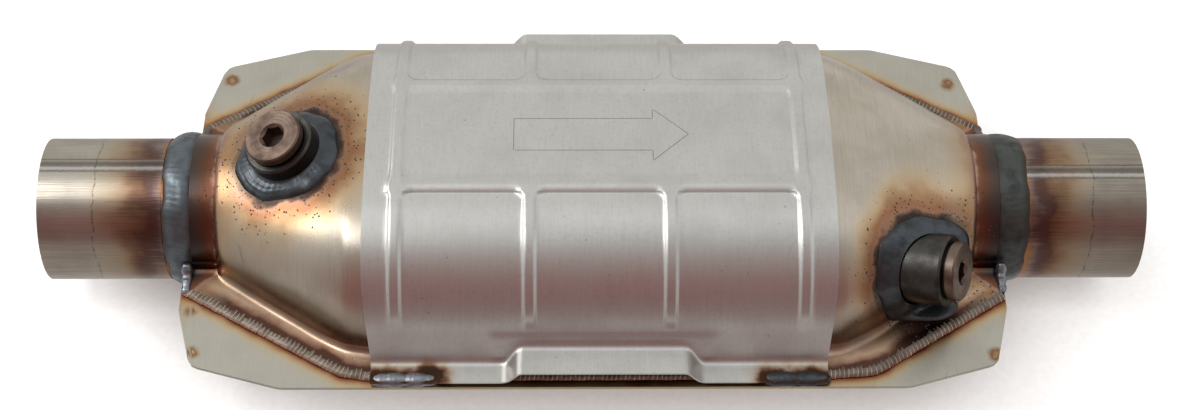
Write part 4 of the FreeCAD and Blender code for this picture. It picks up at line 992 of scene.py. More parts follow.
@dataclass(frozen=True)
class SensorBoss:
    """A turned boss that stands on the cone, with its weld, washer and screw plug."""

    name: str
    seat: tuple[float, float, float]
    axis: tuple[float, float, float]
    lobe_turn: float
    radius: float = 14.0
    weld_width: float = 6.6
    weld_height: float = 2.5
    weld_overlap: float = 0.3
    weld_toe: float = 0.35
    # How far the puddle's last lobe spreads beyond the rest
    lobe: float = 1.6
    ripple_step: float = 2.3
    # Height above the seat from which the shell is felt for, and the depth below it that still counts as near
    feel_from: float = 18.0
    feel_depth: float = 12.0

    def cross(self) -> tuple[np.ndarray, np.ndarray, np.ndarray]:
        """Return the boss's axis and two directions across it."""
        axis = np.array(self.axis) / np.linalg.norm(self.axis)
        first = np.cross(axis, (0.0, 1.0, 0.0))
        first /= np.linalg.norm(first)
        return axis, first, np.cross(axis, first)

    def spread(self, turn: np.ndarray) -> np.ndarray:
        """Return how far the weld puddle spreads beyond the boss at each turn round it."""
        wobble = 0.5 * np.sin(3 * turn + 1.0) + 0.35 * np.sin(7 * turn + 0.4) + 0.18 * np.sin(13 * turn)
        return self.weld_width + wobble + self.lobe * np.clip(np.cos(turn - self.lobe_turn), 0, 1) ** 3

    def distance(self, points: np.ndarray) -> np.ndarray:
        """Return the distance of points from the edge of the weld puddle."""
        axis, first, second = self.cross()
        away = points - np.array(self.seat)
        across = np.stack([away @ first, away @ second], axis=1)
        radius = np.linalg.norm(across, axis=1)
        turn = np.arctan2(across[:, 1], across[:, 0])
        below = np.clip(-(away @ axis) - self.feel_depth, 0.0, None)
        return radius - self.radius - self.spread(turn) + 1.5 * below

    def weld(self, shell: bpy.types.Object, material: bpy.types.Material) -> bpy.types.Object:
        """Lay the weld puddle round the boss, on the shell's surface.

        Args:
            shell: The upper shell's outer surface.
            material: The weld metal.

        Returns:
            The puddle.
        """
        tree = BVHTree.FromPolygons([vertex.co.copy() for vertex in shell.data.vertices],
                                    [tuple(face.vertices) for face in shell.data.polygons])
        axis, first, second = self.cross()
        turns = np.linspace(0, 2 * math.pi, 145)[:-1]
        shares = np.linspace(0.0, 1.0, 15)
        spread = self.spread(turns)
        rows, crest_highlights, edges = [], [], []
        for share in shares:
            for index, turn in enumerate(turns):
                radius = self.radius - self.weld_overlap + share * (spread[index] + self.weld_overlap)
                out = math.cos(turn) * first + math.sin(turn) * second
                start = np.array(self.seat) + axis * self.feel_from + out * radius
                hit, normal, _, _ = tree.ray_cast(Vector(in_frame(start)), Vector(-axis))
                spot = np.array(hit) * 1000.0 - (0.0, 0.0, SEAM_LEVEL)
                ripple = math.sin(2 * math.pi * (turn * 17.0 / self.ripple_step + 0.35 * math.sin(3 * turn))
                                  + 2.6 * share)
                height = self.weld_height * (1 - share ** 2.2) ** 0.7 + 0.9 * math.exp(-share / 0.10)
                in_lobe = max(0.0, math.cos(turn - self.lobe_turn)) ** 4
                ring = math.sin(2 * math.pi * (4.0 * share + 0.12 * math.sin(5 * turn)))
                height += (0.05 + 0.03 * in_lobe) * ripple * math.sin(math.pi * min(1.0, share + 0.15))
                height += 0.16 * in_lobe * ring * math.sin(math.pi * share)
                height = height - self.weld_toe if share == 1.0 else height
                rows.append(spot + height * (0.65 * np.array(normal) + 0.35 * axis))
                # Painted highlight: share of the bright crest colour on the ripple and ring crests
                crest_highlights.append(max(0.0, ripple) ** 3 * 0.16 * (1 - share)
                              + in_lobe * max(0.0, ring) ** 2 * 0.6 * math.sin(math.pi * share))
                edges.append(share ** 3)
        points = np.array(rows)
        piece = new_piece(self.name + "_boss_puddle", points,
                          grid_faces(len(shares), len(turns), ring=True, flip=True), material)
        mark(piece, "crest", np.array(crest_highlights))
        mark(piece, "edge", np.array(edges))
        return piece


@dataclass(frozen=True)
class HeatShield:
    """The pressed cover over the body: arch, walls, skirts, tunnels and ribs."""

    centre: float = 1.85
    length: float = 180.7
    sheet: float = 0.8
    half_height: float = 49.5
    half_width: float = 73.2
    side_radius: float = 47.5
    side_level: float = 0.25
    wall_level: float = 16.0
    foot_half: float = 78.0
    foot_radius: float = 3.0
    skirt_top: float = 2.9
    skirt_half: float = 85.2
    setback: float = 2.5
    trim_level: float = 34.0
    tunnel_centre: float = 3.3
    tunnel_top_half: float = 32.7
    tunnel_foot_half: float = 39.2
    tunnel_top: float = 10.0
    rib_height: float = 1.25
    rib_foot: float = 3.2
    rib_crown: float = 1.3
    rib_corner: float = 3.0
    end_rib: float = 78.0
    side_rib: float = 26.9
    long_rib: float = 25.3
    fade_top: float = 23.0
    fade_foot: float = 16.0
    # How far the tunnel swells the wall, past its corners and up to this level
    swell: float = 0.5
    swell_past: float = 7.0
    swell_top: float = 17.0
    # Stretch of the outline before and after the long rib where points lie closer together
    rib_before: float = 4.4
    rib_after: float = 3.6
    # Plain outline of the flow arrow, from the middle of the panel
    arrow_across: float = -0.95
    arrow: tuple = ((-31.3, 7.85), (22.8, 7.85), (22.8, 12.85), (36.6, 0.0), (22.6, -12.85), (22.6, -7.85),
                    (-31.3, -7.85), (-31.3, 7.85))

    def crown_radius(self) -> float:
        """Return the radius of the shallow arc over the panel."""
        rise = self.half_height - self.side_level
        reach = self.half_width - self.side_radius
        return (rise * rise + reach * reach - self.side_radius ** 2) / (2 * (rise - self.side_radius))

    def wall(self) -> tuple[float, float]:
        """Return the wall's distance from the centre plane at its top, and its lean in radians."""
        reach = self.half_width - self.side_radius
        top = reach + math.sqrt(self.side_radius ** 2 - (self.wall_level - self.side_level) ** 2)
        across = self.foot_half - top
        down = self.wall_level - self.skirt_top - self.foot_radius
        return top, math.atan2(across, down) - math.asin(self.foot_radius / math.hypot(across, down))

    def outline(self, skirt_level: float) -> np.ndarray:
        """Return the outline across the pipes on the far side, from the crown to the skirt's edge.

        Args:
            skirt_level: Height of the skirt's top at this place along X.

        Returns:
            Rows of y and z.
        """
        crown = self.crown_radius()
        middle = self.half_height - crown
        reach = self.half_width - self.side_radius
        turn = math.atan2(self.side_level - middle, reach)
        before, after = turn + self.rib_before / crown, turn - self.rib_after / self.side_radius
        wall_top, lean = self.wall()
        down = (self.wall_level + self.foot_radius * math.sin(lean) - skirt_level - self.foot_radius) / math.cos(lean)
        top = np.array([wall_top, self.wall_level])
        foot = top + np.array([math.sin(lean), -math.cos(lean)]) * down
        bend = foot + np.array([math.cos(lean), math.sin(lean)]) * self.foot_radius
        last = math.asin((self.wall_level - self.side_level) / self.side_radius)
        return np.concatenate([
            arc((0.0, middle), crown, math.pi / 2, before, 14),
            arc((0.0, middle), crown, before, turn, 13)[1:],
            arc((reach, self.side_level), self.side_radius, turn, after, 11)[1:],
            arc((reach, self.side_level), self.side_radius, after, last, 27)[1:],
            np.linspace(top, foot, 12)[1:],
            arc((bend[0], bend[1]), self.foot_radius, math.pi + lean, 1.5 * math.pi, 8)[1:],
            np.linspace((bend[0], skirt_level), (self.skirt_half, skirt_level), 7)[1:]])

    def rib(self, points: np.ndarray) -> np.ndarray:
        """Return how far the ribs lift the sheet at points of the plain shape."""
        along = np.abs(points[..., 0] - self.centre)
        across = np.abs(points[..., 1])
        fade = ease((points[..., 2] - self.fade_foot) / (self.fade_top - self.fade_foot))
        lengthwise = np.hypot(across - self.long_rib, np.clip(along - self.end_rib, 0.0, None))
        ends = np.abs(along - self.end_rib)
        sides = np.hypot(along - self.side_rib, np.clip(self.long_rib - across, 0.0, None))
        crosswise = np.minimum(ends, sides)
        # Where two ribs meet, their inner corner is rounded
        reach = self.rib_foot + self.rib_corner
        corner = reach - np.hypot(np.clip(reach - lengthwise, 0.0, None), np.clip(reach - crosswise, 0.0, None))
        gap = np.minimum(np.minimum(lengthwise, crosswise), corner)
        return self.rib_height * fade * ease((self.rib_foot - gap) / (self.rib_foot - self.rib_crown))

    def stations(self) -> np.ndarray:
        """Return the places along X where the outline is taken, from -1 to 1, closer together on the ribs."""
        even = np.linspace(-1.0, 1.0, 121)
        flank = np.arange(0.9, self.rib_foot + 0.5, 0.4)
        near = [sign * rib + way * flank for rib in (self.end_rib, self.side_rib) for sign in (-1, 1)
                for way in (-1, 1)]
        places = np.sort(np.concatenate([even, np.concatenate(near) / (self.length / 2)]))
        # Places that all but fall together are taken once
        return places[np.concatenate([[True], np.diff(places) > 0.0018])]

    def build(self, material: bpy.types.Material) -> bpy.types.Object:
        """Press the shield out of its sheet."""
        rows = []
        for way in self.stations():
            station = self.centre + way * self.length / 2
            off = abs(station - self.tunnel_centre)
            lift = float(ease(np.array((self.tunnel_foot_half + 0.8 - off)
                                       / (self.tunnel_foot_half - self.tunnel_top_half + 1.6))))
            far = self.outline(self.skirt_top + lift * (self.tunnel_top - self.skirt_top))
            both = np.concatenate([(far[::-1] * (-1.0, 1.0))[:-1], far])
            trim = np.clip((self.trim_level - both[:, 1]) / (self.trim_level - self.skirt_top), 0.0, 1.0)
            along = self.centre + way * (self.length / 2 - self.setback * trim)
            # The tunnel swells the wall a little beyond its own corners
            swell = (self.swell * ease(np.array((self.tunnel_foot_half + self.swell_past - off) / 4.0))
                     * ease((self.swell_top - both[:, 1]) / 4.0) * ease((both[:, 1] - 3.2) / 2.0))
            rows.append(np.stack([along, both[:, 0] + np.sign(both[:, 0]) * swell, both[:, 1]], axis=1))
        grid = np.array(rows)
        outward = np.cross(np.gradient(grid, axis=0), np.gradient(grid, axis=1))
        outward /= np.linalg.norm(outward, axis=2, keepdims=True)
        grid = grid + outward * self.rib(grid)[..., None]
        piece = new_piece("shield_sheet", grid.reshape(-1, 3), grid_faces(*grid.shape[:2]), material)
        tacks = np.array([(middle + off, across, TACK_LEVEL) for middle, across in TACK_PLACES
                          for off in np.linspace(-11, 11, 12)])
        mark(piece, "tack_mm", distance_to(points_of(piece), tacks))
        thicken(piece, self.sheet)
        return piece

    def crown_level(self, across: np.ndarray) -> np.ndarray:
        """Return the panel's height at distances from the centre plane."""
        crown = self.crown_radius()
        return self.half_height - crown + np.sqrt(crown ** 2 - np.asarray(across) ** 2)

    def flow_arrow(self, material: bpy.types.Material) -> bpy.types.Object:
        """Scribe the plain outline of a flow arrow into the panel, as a fine line half sunk into it."""
        run = walk(np.array(self.arrow), 1.2)[:-1]
        ahead = np.roll(run, -1, axis=0) - np.roll(run, 1, axis=0)
        ahead /= np.linalg.norm(ahead, axis=1, keepdims=True)
        beside = np.stack([-ahead[:, 1], ahead[:, 0]], axis=1)
        rows = []
        for across, up in ((-0.24, -0.05), (-0.1, 0.035), (0.1, 0.035), (0.24, -0.05)):
            place = run + beside * across + (0.0, self.arrow_across)
            rows.append(np.concatenate([place, (self.crown_level(place[:, 1]) + up)[:, None]], axis=1))
        grid = np.array(rows)
        return new_piece("flow_arrow_line", grid.reshape(-1, 3),
                         grid_faces(grid.shape[0], grid.shape[1], ring=True, flip=True), material)


@dataclass(frozen=True)
class SeamWeld:
    """A machine-laid bead along the upper flange's edge, with even ripples."""

    side: Side
    shell: PressedShell
    pitch: float = 1.75
    half_width: float = 3.15
    height: float = 1.5
    level: float = 0.15
    outward: float = 0.15
    # The bed under the ripples, as shares of their half width and height
    bed_wide: float = 0.93
    bed_high: float = 0.72

    def run(self) -> np.ndarray:
        """Return the bead's line, as rows of x, y and z."""
        line = walk(self.shell.seam_run(self.side), 0.8)
        line += (0.0, self.outward * self.side.value)
        return np.concatenate([line, np.full((len(line), 1), self.level)], axis=1)

    def ripple(self) -> bpy.types.Object:
        """Make one ripple: a low crescent with a steep front and a long back."""
        across = np.linspace(-1.0, 1.0, 9)
        backs = ((0.0, -0.35), (0.04, 0.90), (0.26, 1.0), (0.42, 0.99), (2.6, 0.76))
        rows = []
        for back, level in backs:
            lag = 0.45 * across ** 2
            round_level = np.sqrt(np.clip(1 - (across * 0.98) ** 2, 0, 1))
            rows.append(np.stack([-(back + lag) + 1.2, across * self.half_width,
                                  level * self.height * round_level - 0.05], axis=1))
        grid = np.array(rows)
        ripple = new_piece("ripple", grid.reshape(-1, 3) - (0, 0, SEAM_LEVEL), grid_faces(*grid.shape[:2], flip=True))
        # Painted highlight: the ripple's front rows take the bright crest colour
        mark(ripple, "crest", np.repeat([0.0, 0.9, 1.0, 0.0, 0.0], 9))
        mark(ripple, "edge", np.tile(np.abs(across) ** 1.5, 5))
        return ripple

    def tree(self) -> bpy.types.NodeTree:
        """Return the tree that lays ripples along a line, made once."""
        ready = bpy.data.node_groups.get("ripples_along_line")
        if ready is not None:
            return ready
        tree = open_tree("ripples_along_line", "Line", {
            "Pitch": "Float", "Bed Width": "Float", "Bed Height": "Float", "Ripple": "Object", "Metal": "Material",
            "Seed": "Int"}, "Bead")
        given = add_node(tree, "NodeGroupInput").outputs
        line = add_node(tree, "GeometryNodeMeshToCurve", inputs={"Mesh": given["Line"]})
        upright = add_node(tree, "GeometryNodeSetCurveNormal", {"mode": "Z_UP"}, {"Curve": line.outputs["Curve"]})
        steps = add_node(tree, "GeometryNodeResampleCurve", {"mode": "LENGTH"},
                         {"Curve": upright.outputs["Curve"], "Length": given["Pitch"]})
        ahead = add_node(tree, "GeometryNodeInputTangent")
        turn = add_node(tree, "FunctionNodeAlignRotationToVector", {"axis": "X", "pivot_axis": "Z"},
                        {"Vector": ahead.outputs["Tangent"]})
        size = add_node(tree, "FunctionNodeRandomValue", {"data_type": "FLOAT_VECTOR"},
                        {"Min": (0.9, 0.94, 0.88), "Max": (1.15, 1.05, 1.08), "Seed": given["Seed"]})
        shape = add_node(tree, "GeometryNodeObjectInfo", inputs={"Object": given["Ripple"]})
        laid = add_node(tree, "GeometryNodeInstanceOnPoints",
                        inputs={"Points": steps.outputs["Curve"], "Instance": shape.outputs["Geometry"],
                                "Rotation": turn.outputs["Rotation"], "Scale": size.outputs["Value"]})
        real = add_node(tree, "GeometryNodeRealizeInstances", inputs={"Geometry": laid.outputs["Instances"]})
        disc = add_node(tree, "GeometryNodeCurvePrimitiveCircle", inputs={"Resolution": 12, "Radius": 1.0})
        oval_size = add_node(tree, "ShaderNodeCombineXYZ",
                             inputs={"X": given["Bed Width"], "Y": given["Bed Height"], "Z": 1.0})
        oval = add_node(tree, "GeometryNodeTransform",
                        inputs={"Geometry": disc.outputs["Curve"], "Scale": oval_size.outputs["Vector"]})
        bed = add_node(tree, "GeometryNodeCurveToMesh",
                       inputs={"Curve": upright.outputs["Curve"], "Profile Curve": oval.outputs["Geometry"],
                               "Fill Caps": True})
        both = add_node(tree, "GeometryNodeJoinGeometry")
        tree.links.new(real.outputs["Geometry"], both.inputs["Geometry"])
        tree.links.new(bed.outputs["Mesh"], both.inputs["Geometry"])
        metal = add_node(tree, "GeometryNodeSetMaterial",
                         inputs={"Geometry": both.outputs["Geometry"], "Material": given["Metal"]})
        add_node(tree, "NodeGroupOutput", inputs={"Bead": metal.outputs["Geometry"]})
        return tree

    def build(self, material: bpy.types.Material) -> bpy.types.Object:
        """Lay the bead, as one plain mesh."""
        line = self.run()
        mesh = bpy.data.meshes.new("seam_line")
        mesh.from_pydata(in_frame(line).tolist(), [(index, index + 1) for index in range(len(line) - 1)], [])
        piece = add_object(self.side.name.lower() + "_seam_bead", mesh)
        ripple = self.ripple()
        run_tree(piece, self.tree(), {
            "Pitch": self.pitch / 1000, "Bed Width": self.half_width * self.bed_wide / 1000,
            "Bed Height": self.height * self.bed_high / 1000, "Ripple": ripple, "Metal": material,
            "Seed": 5 + self.side.value}, 50.0)
        bpy.data.objects.remove(ripple)
        return piece


@dataclass(frozen=True)
class CollarWeld:
    """A hand-laid bead round a pipe, against the end of its neck."""

    end: End
    # Distance of the neck's end from the middle, radius over the bead's crown, and the bead's width
    start: float
    crown: float
    width: float
    pipe_radius: float = 28.575
    # Share of the bead's width, then of its height over the pipe
    profile: tuple = ((-0.03, 0.2), (-0.02, 0.62), (0.06, 0.86), (0.18, 0.97), (0.34, 1.0), (0.5, 0.93),
                      (0.64, 0.8), (0.78, 0.58), (0.9, 0.34), (0.98, 0.12), (1.02, -0.06))

    def build(self, material: bpy.types.Material) -> bpy.types.Object:
        """Lay the bead round the pipe."""
        turns = np.linspace(0, 2 * math.pi, 241)[:-1]
        phase = 0.7 if self.end is End.INLET else 2.1
        wander = 0.3 * np.sin(5 * turns + phase) + 0.22 * np.sin(11 * turns + 2 * phase) + 0.1 * np.sin(23 * turns)
        lumps = 0.07 * np.sin(7 * turns + phase) + 0.05 * np.sin(17 * turns + 1.3)
        rows, crest_highlights, edges = [], [], []
        rise = self.crown - self.pipe_radius
        for share, level in self.profile:
            ripple = np.sin(turns * 78 + 5.0 * share + 0.8 * np.sin(4 * turns))
            body = math.sin(math.pi * min(1.0, max(0.0, share)))
            along = self.start + share * self.width + wander * max(0.0, share) ** 1.5
            radius = self.pipe_radius + level * rise + (lumps * 1.6 + 0.07 * ripple) * body
            rows.append(np.stack([self.end.value * along, radius * np.cos(turns), radius * np.sin(turns)], axis=1))
            # Painted highlight: share of the bright crest colour on each ripple's crest
            crest_highlights.append(np.clip(ripple, 0, 1) ** 4 * 0.28 * body)
            edges.append(np.full(len(turns), abs(share - 0.45) * 1.9))
        grid = np.array(rows)
        flip = self.end is End.INLET
        piece = new_piece(self.end.name.lower() + "_collar_bead", grid.reshape(-1, 3),
                          grid_faces(*grid.shape[:2], ring=True, flip=flip), material)
        mark(piece, "crest", np.concatenate(crest_highlights))
        mark(piece, "edge", np.concatenate(edges))
        return piece


@dataclass(frozen=True)
class ShortWeld:
    """A short hand-laid weld: overlapping drops along a line."""

    name: str
    line: tuple
    drops: tuple
    ripple_height: float = 0.06
    ripple_step: float = 1.9
    step: float = 0.35
    thinnest: float = 0.02

    def build(self, material: bpy.types.Material) -> bpy.types.Object:
        """Lay the drops as one closed bead."""
        run = walk(np.array(self.line, float), self.step)
        lengths = np.linalg.norm(np.diff(run, axis=0), axis=1)
        along = np.concatenate([[0.0], np.cumsum(lengths)])
        along /= along[-1]
        ahead = np.gradient(run, axis=0)
        ahead /= np.linalg.norm(ahead, axis=1, keepdims=True)
        up = np.array([0.0, 0.0, 1.0]) if abs(ahead[0, 2]) < 0.9 else np.array([1.0, 0.0, 0.0])
        beside = np.cross(up, ahead)
        beside /= np.linalg.norm(beside, axis=1, keepdims=True)
        above = np.cross(ahead, beside)
        wide = np.zeros(len(run))
        high = np.zeros(len(run))
        for place, reach, half_width, height in self.drops:
            dome = np.sqrt(np.clip(1 - ((along - place) / reach) ** 2, 0.0, 1.0))
            wide = np.maximum(wide, half_width * dome)
            high = np.maximum(high, height * dome)
        wave = np.sin(along * along.size * self.step * 2 * math.pi / self.ripple_step)
        turns = np.linspace(0, 2 * math.pi, 21)[:-1]
        rows = []
        for index in range(len(run)):
            lift = high[index] + self.ripple_height * wave[index] * min(1.0, high[index])
            rows.append(run[index] + np.outer(np.cos(turns), beside[index]) * max(wide[index], self.thinnest)
                        + np.outer(np.sin(turns), above[index]) * max(lift, self.thinnest))
        grid = np.array(rows)
        faces = list(grid_faces(*grid.shape[:2], ring=True))
        last = (len(run) - 1) * len(turns)
        faces += [list(range(len(turns))), list(range(last, last + len(turns)))[::-1]]
        piece = new_piece(self.name, grid.reshape(-1, 3), faces, material, 60.0)
        # Painted highlight: share of the bright crest colour on each ripple's crest
        mark(piece, "crest", np.repeat(np.clip(wave, 0, 1) ** 2 * 6 * self.ripple_height, len(turns)))
        mark(piece, "edge", np.tile(np.clip(-np.sin(turns), 0, 1), len(run)))
        face_outwards(piece)
        return piece


@dataclass(frozen=True)
class Spatter:
    """Small drops of weld metal thrown onto the shell round each boss."""

    seed: int = 11
    # Drops to the square metre where they lie thickest, and their radii
    most: float = 260000.0
    smallest: float = 0.12
    largest: float = 0.42

    def build(self, shell: bpy.types.Object, nearness: np.ndarray, material: bpy.types.Material) -> bpy.types.Object:
        """Scatter the drops over a copy of the shell's outer surface.

        Args:
            shell: The shell's outer surface.
            nearness: How thickly the drops lie at each of its points, from nought to one.
            material: The weld metal.

        Returns:
            The drops, as one plain mesh.
        """
        piece = add_object("weld_spatter", shell.data.copy())
        mark(piece, "nearness", nearness)
        run_tree(piece, self.tree(), {
            "Most": self.most, "Smallest": self.smallest / 1000, "Largest": self.largest / 1000,
            "Metal": material, "Seed": self.seed}, 80.0)
        return piece

    def tree(self) -> bpy.types.NodeTree:
        """Return the tree that throws drops onto a surface."""
        tree = open_tree("drops_on_surface", "Surface", {
            "Most": "Float", "Smallest": "Float", "Largest": "Float", "Metal": "Material", "Seed": "Int"}, "Drops")
        given = add_node(tree, "NodeGroupInput").outputs
        near = add_node(tree, "GeometryNodeInputNamedAttribute", {"data_type": "FLOAT"}, {"Name": "nearness"})
        thick = add_node(tree, "ShaderNodeMath", {"operation": "MULTIPLY"},
                         {0: near.outputs["Attribute"], 1: given["Most"]})
        spots = add_node(tree, "GeometryNodeDistributePointsOnFaces", {"distribute_method": "RANDOM"},
                         {"Mesh": given["Surface"], "Density": thick.outputs["Value"], "Seed": given["Seed"]})
        drop = add_node(tree, "GeometryNodeMeshIcoSphere", inputs={"Radius": 1.0, "Subdivisions": 2})
        flat = add_node(tree, "GeometryNodeTransform",
                        inputs={"Geometry": drop.outputs["Mesh"], "Scale": (1.0, 1.0, 0.6)})
        size = add_node(tree, "FunctionNodeRandomValue", {"data_type": "FLOAT"},
                        {"Min": given["Smallest"], "Max": given["Largest"], "Seed": given["Seed"]})
        laid = add_node(tree, "GeometryNodeInstanceOnPoints",
                        inputs={"Points": spots.outputs["Points"], "Instance": flat.outputs["Geometry"],
                                "Rotation": spots.outputs["Rotation"], "Scale": size})
        real = add_node(tree, "GeometryNodeRealizeInstances", inputs={"Geometry": laid.outputs["Instances"]})
        metal = add_node(tree, "GeometryNodeSetMaterial",
                         inputs={"Geometry": real.outputs["Geometry"], "Material": given["Metal"]})
        add_node(tree, "NodeGroupOutput", inputs={"Drops": metal.outputs["Geometry"]})
        return tree


# Assembly

# Heat colours, as the mark they follow, their reach and wander in millimetres, and their stops; the seam's row
# also holds painted reflection
# Seam row: heat colours next to the bead; the pale strip some 3 mm out is a painted highlight reflecting the shell's
# foot, and the band some 6 to 16 mm out is painted dark reflection over brown heat tint
SEAM_TEMPER_AND_REFLECTION = Temper("seam_mm", 26.0, 1.2, (
    (0.0, "#5A4036", 1.0), (0.05, "#9A7460", 1.0), (0.13, "#C3A48C", 0.9), (0.24, "#9A7C64", 0.8),
    (0.38, "#6E5A4A", 0.75), (0.62, "#7E6E5E", 0.5), (1.0, "#BDB3A4", 0.0)))
WING_TEMPER = Temper("seam_mm", 9.5, 0.5, (
    (0.0, "#3E211C", 1.0), (0.10, "#6A3626", 1.0), (0.20, "#9C6A40", 0.9), (0.34, "#BF9B68", 0.7),
    (0.52, "#C6B48C", 0.45), (0.75, "#C0B8A4", 0.2), (1.0, "#BDB8AC", 0.0)))
NECK_TEMPER = Temper("collar_mm", 30.0, 1.6, (
    (0.0, "#4A4542", 1.0), (0.10, "#564740", 1.0), (0.20, "#6A4838", 1.0), (0.29, "#7C5442", 1.0),
    (0.335, "#A88876", 0.95), (0.40, "#A37E60", 0.8), (0.56, "#BC9C76", 0.45), (1.0, "#BDB3A4", 0.0)))
BOSS_TEMPER = Temper("boss_mm", 26.0, 2.0, (
    (0.0, "#3B322D", 1.0), (0.05, "#5C473C", 1.0), (0.10, "#94705A", 1.0), (0.20, "#946A4C", 1.0),
    (0.32, "#A47E5A", 0.9), (0.48, "#C0A078", 0.75), (0.70, "#C9B393", 0.4), (1.0, "#BDB3A4", 0.0)))
SPOT_TEMPER = Temper("spot_mm", 4.6, 0.8, (
    (0.0, "#CDBB9C", 0.8), (0.22, "#B08A5C", 0.9), (0.40, "#7C5234", 0.9), (0.62, "#9A7C56", 0.6),
    (1.0, "#BDB8AC", 0.0)))
TACK_TEMPER = Temper("tack_mm", 10.0, 2.2, (
    (0.0, "#3C2C22", 1.0), (0.28, "#4A3324", 1.0), (0.42, "#7C4C2C", 0.85), (0.58, "#AD8A5C", 0.5),
    (0.80, "#BDB092", 0.2), (1.0, "#CDCCC8", 0.0)))
# Rust spots near the wings' corners, as x and y
WING_SPOTS = ((-153.5, 68.0), (-155.5, -69.0), (-158.5, -50.0), (153.0, 66.0), (156.0, -71.5))
# The drops of a short weld: place along it and reach, as shares, then half width and height
CORNER_DROPS = ((0.2, 0.24, 2.3, 2.1), (0.5, 0.34, 2.2, 1.9), (0.84, 0.2, 1.9, 1.4))
TACK_DROPS = ((0.2, 0.2, 2.9, 2.2), (0.36, 0.25, 3.1, 2.55), (0.66, 0.24, 3.2, 2.5), (0.84, 0.16, 2.6, 1.9))
# Half the width of the seam bead that hides the sheet
BEAD_HALF = 2.7
# Distance from the pipes' axis at which the collars' heat starts to fade
COLLAR_HEAT_RADIUS = 33.0
# How far from a puddle its spatter reaches
SPATTER_REACH = 22.0


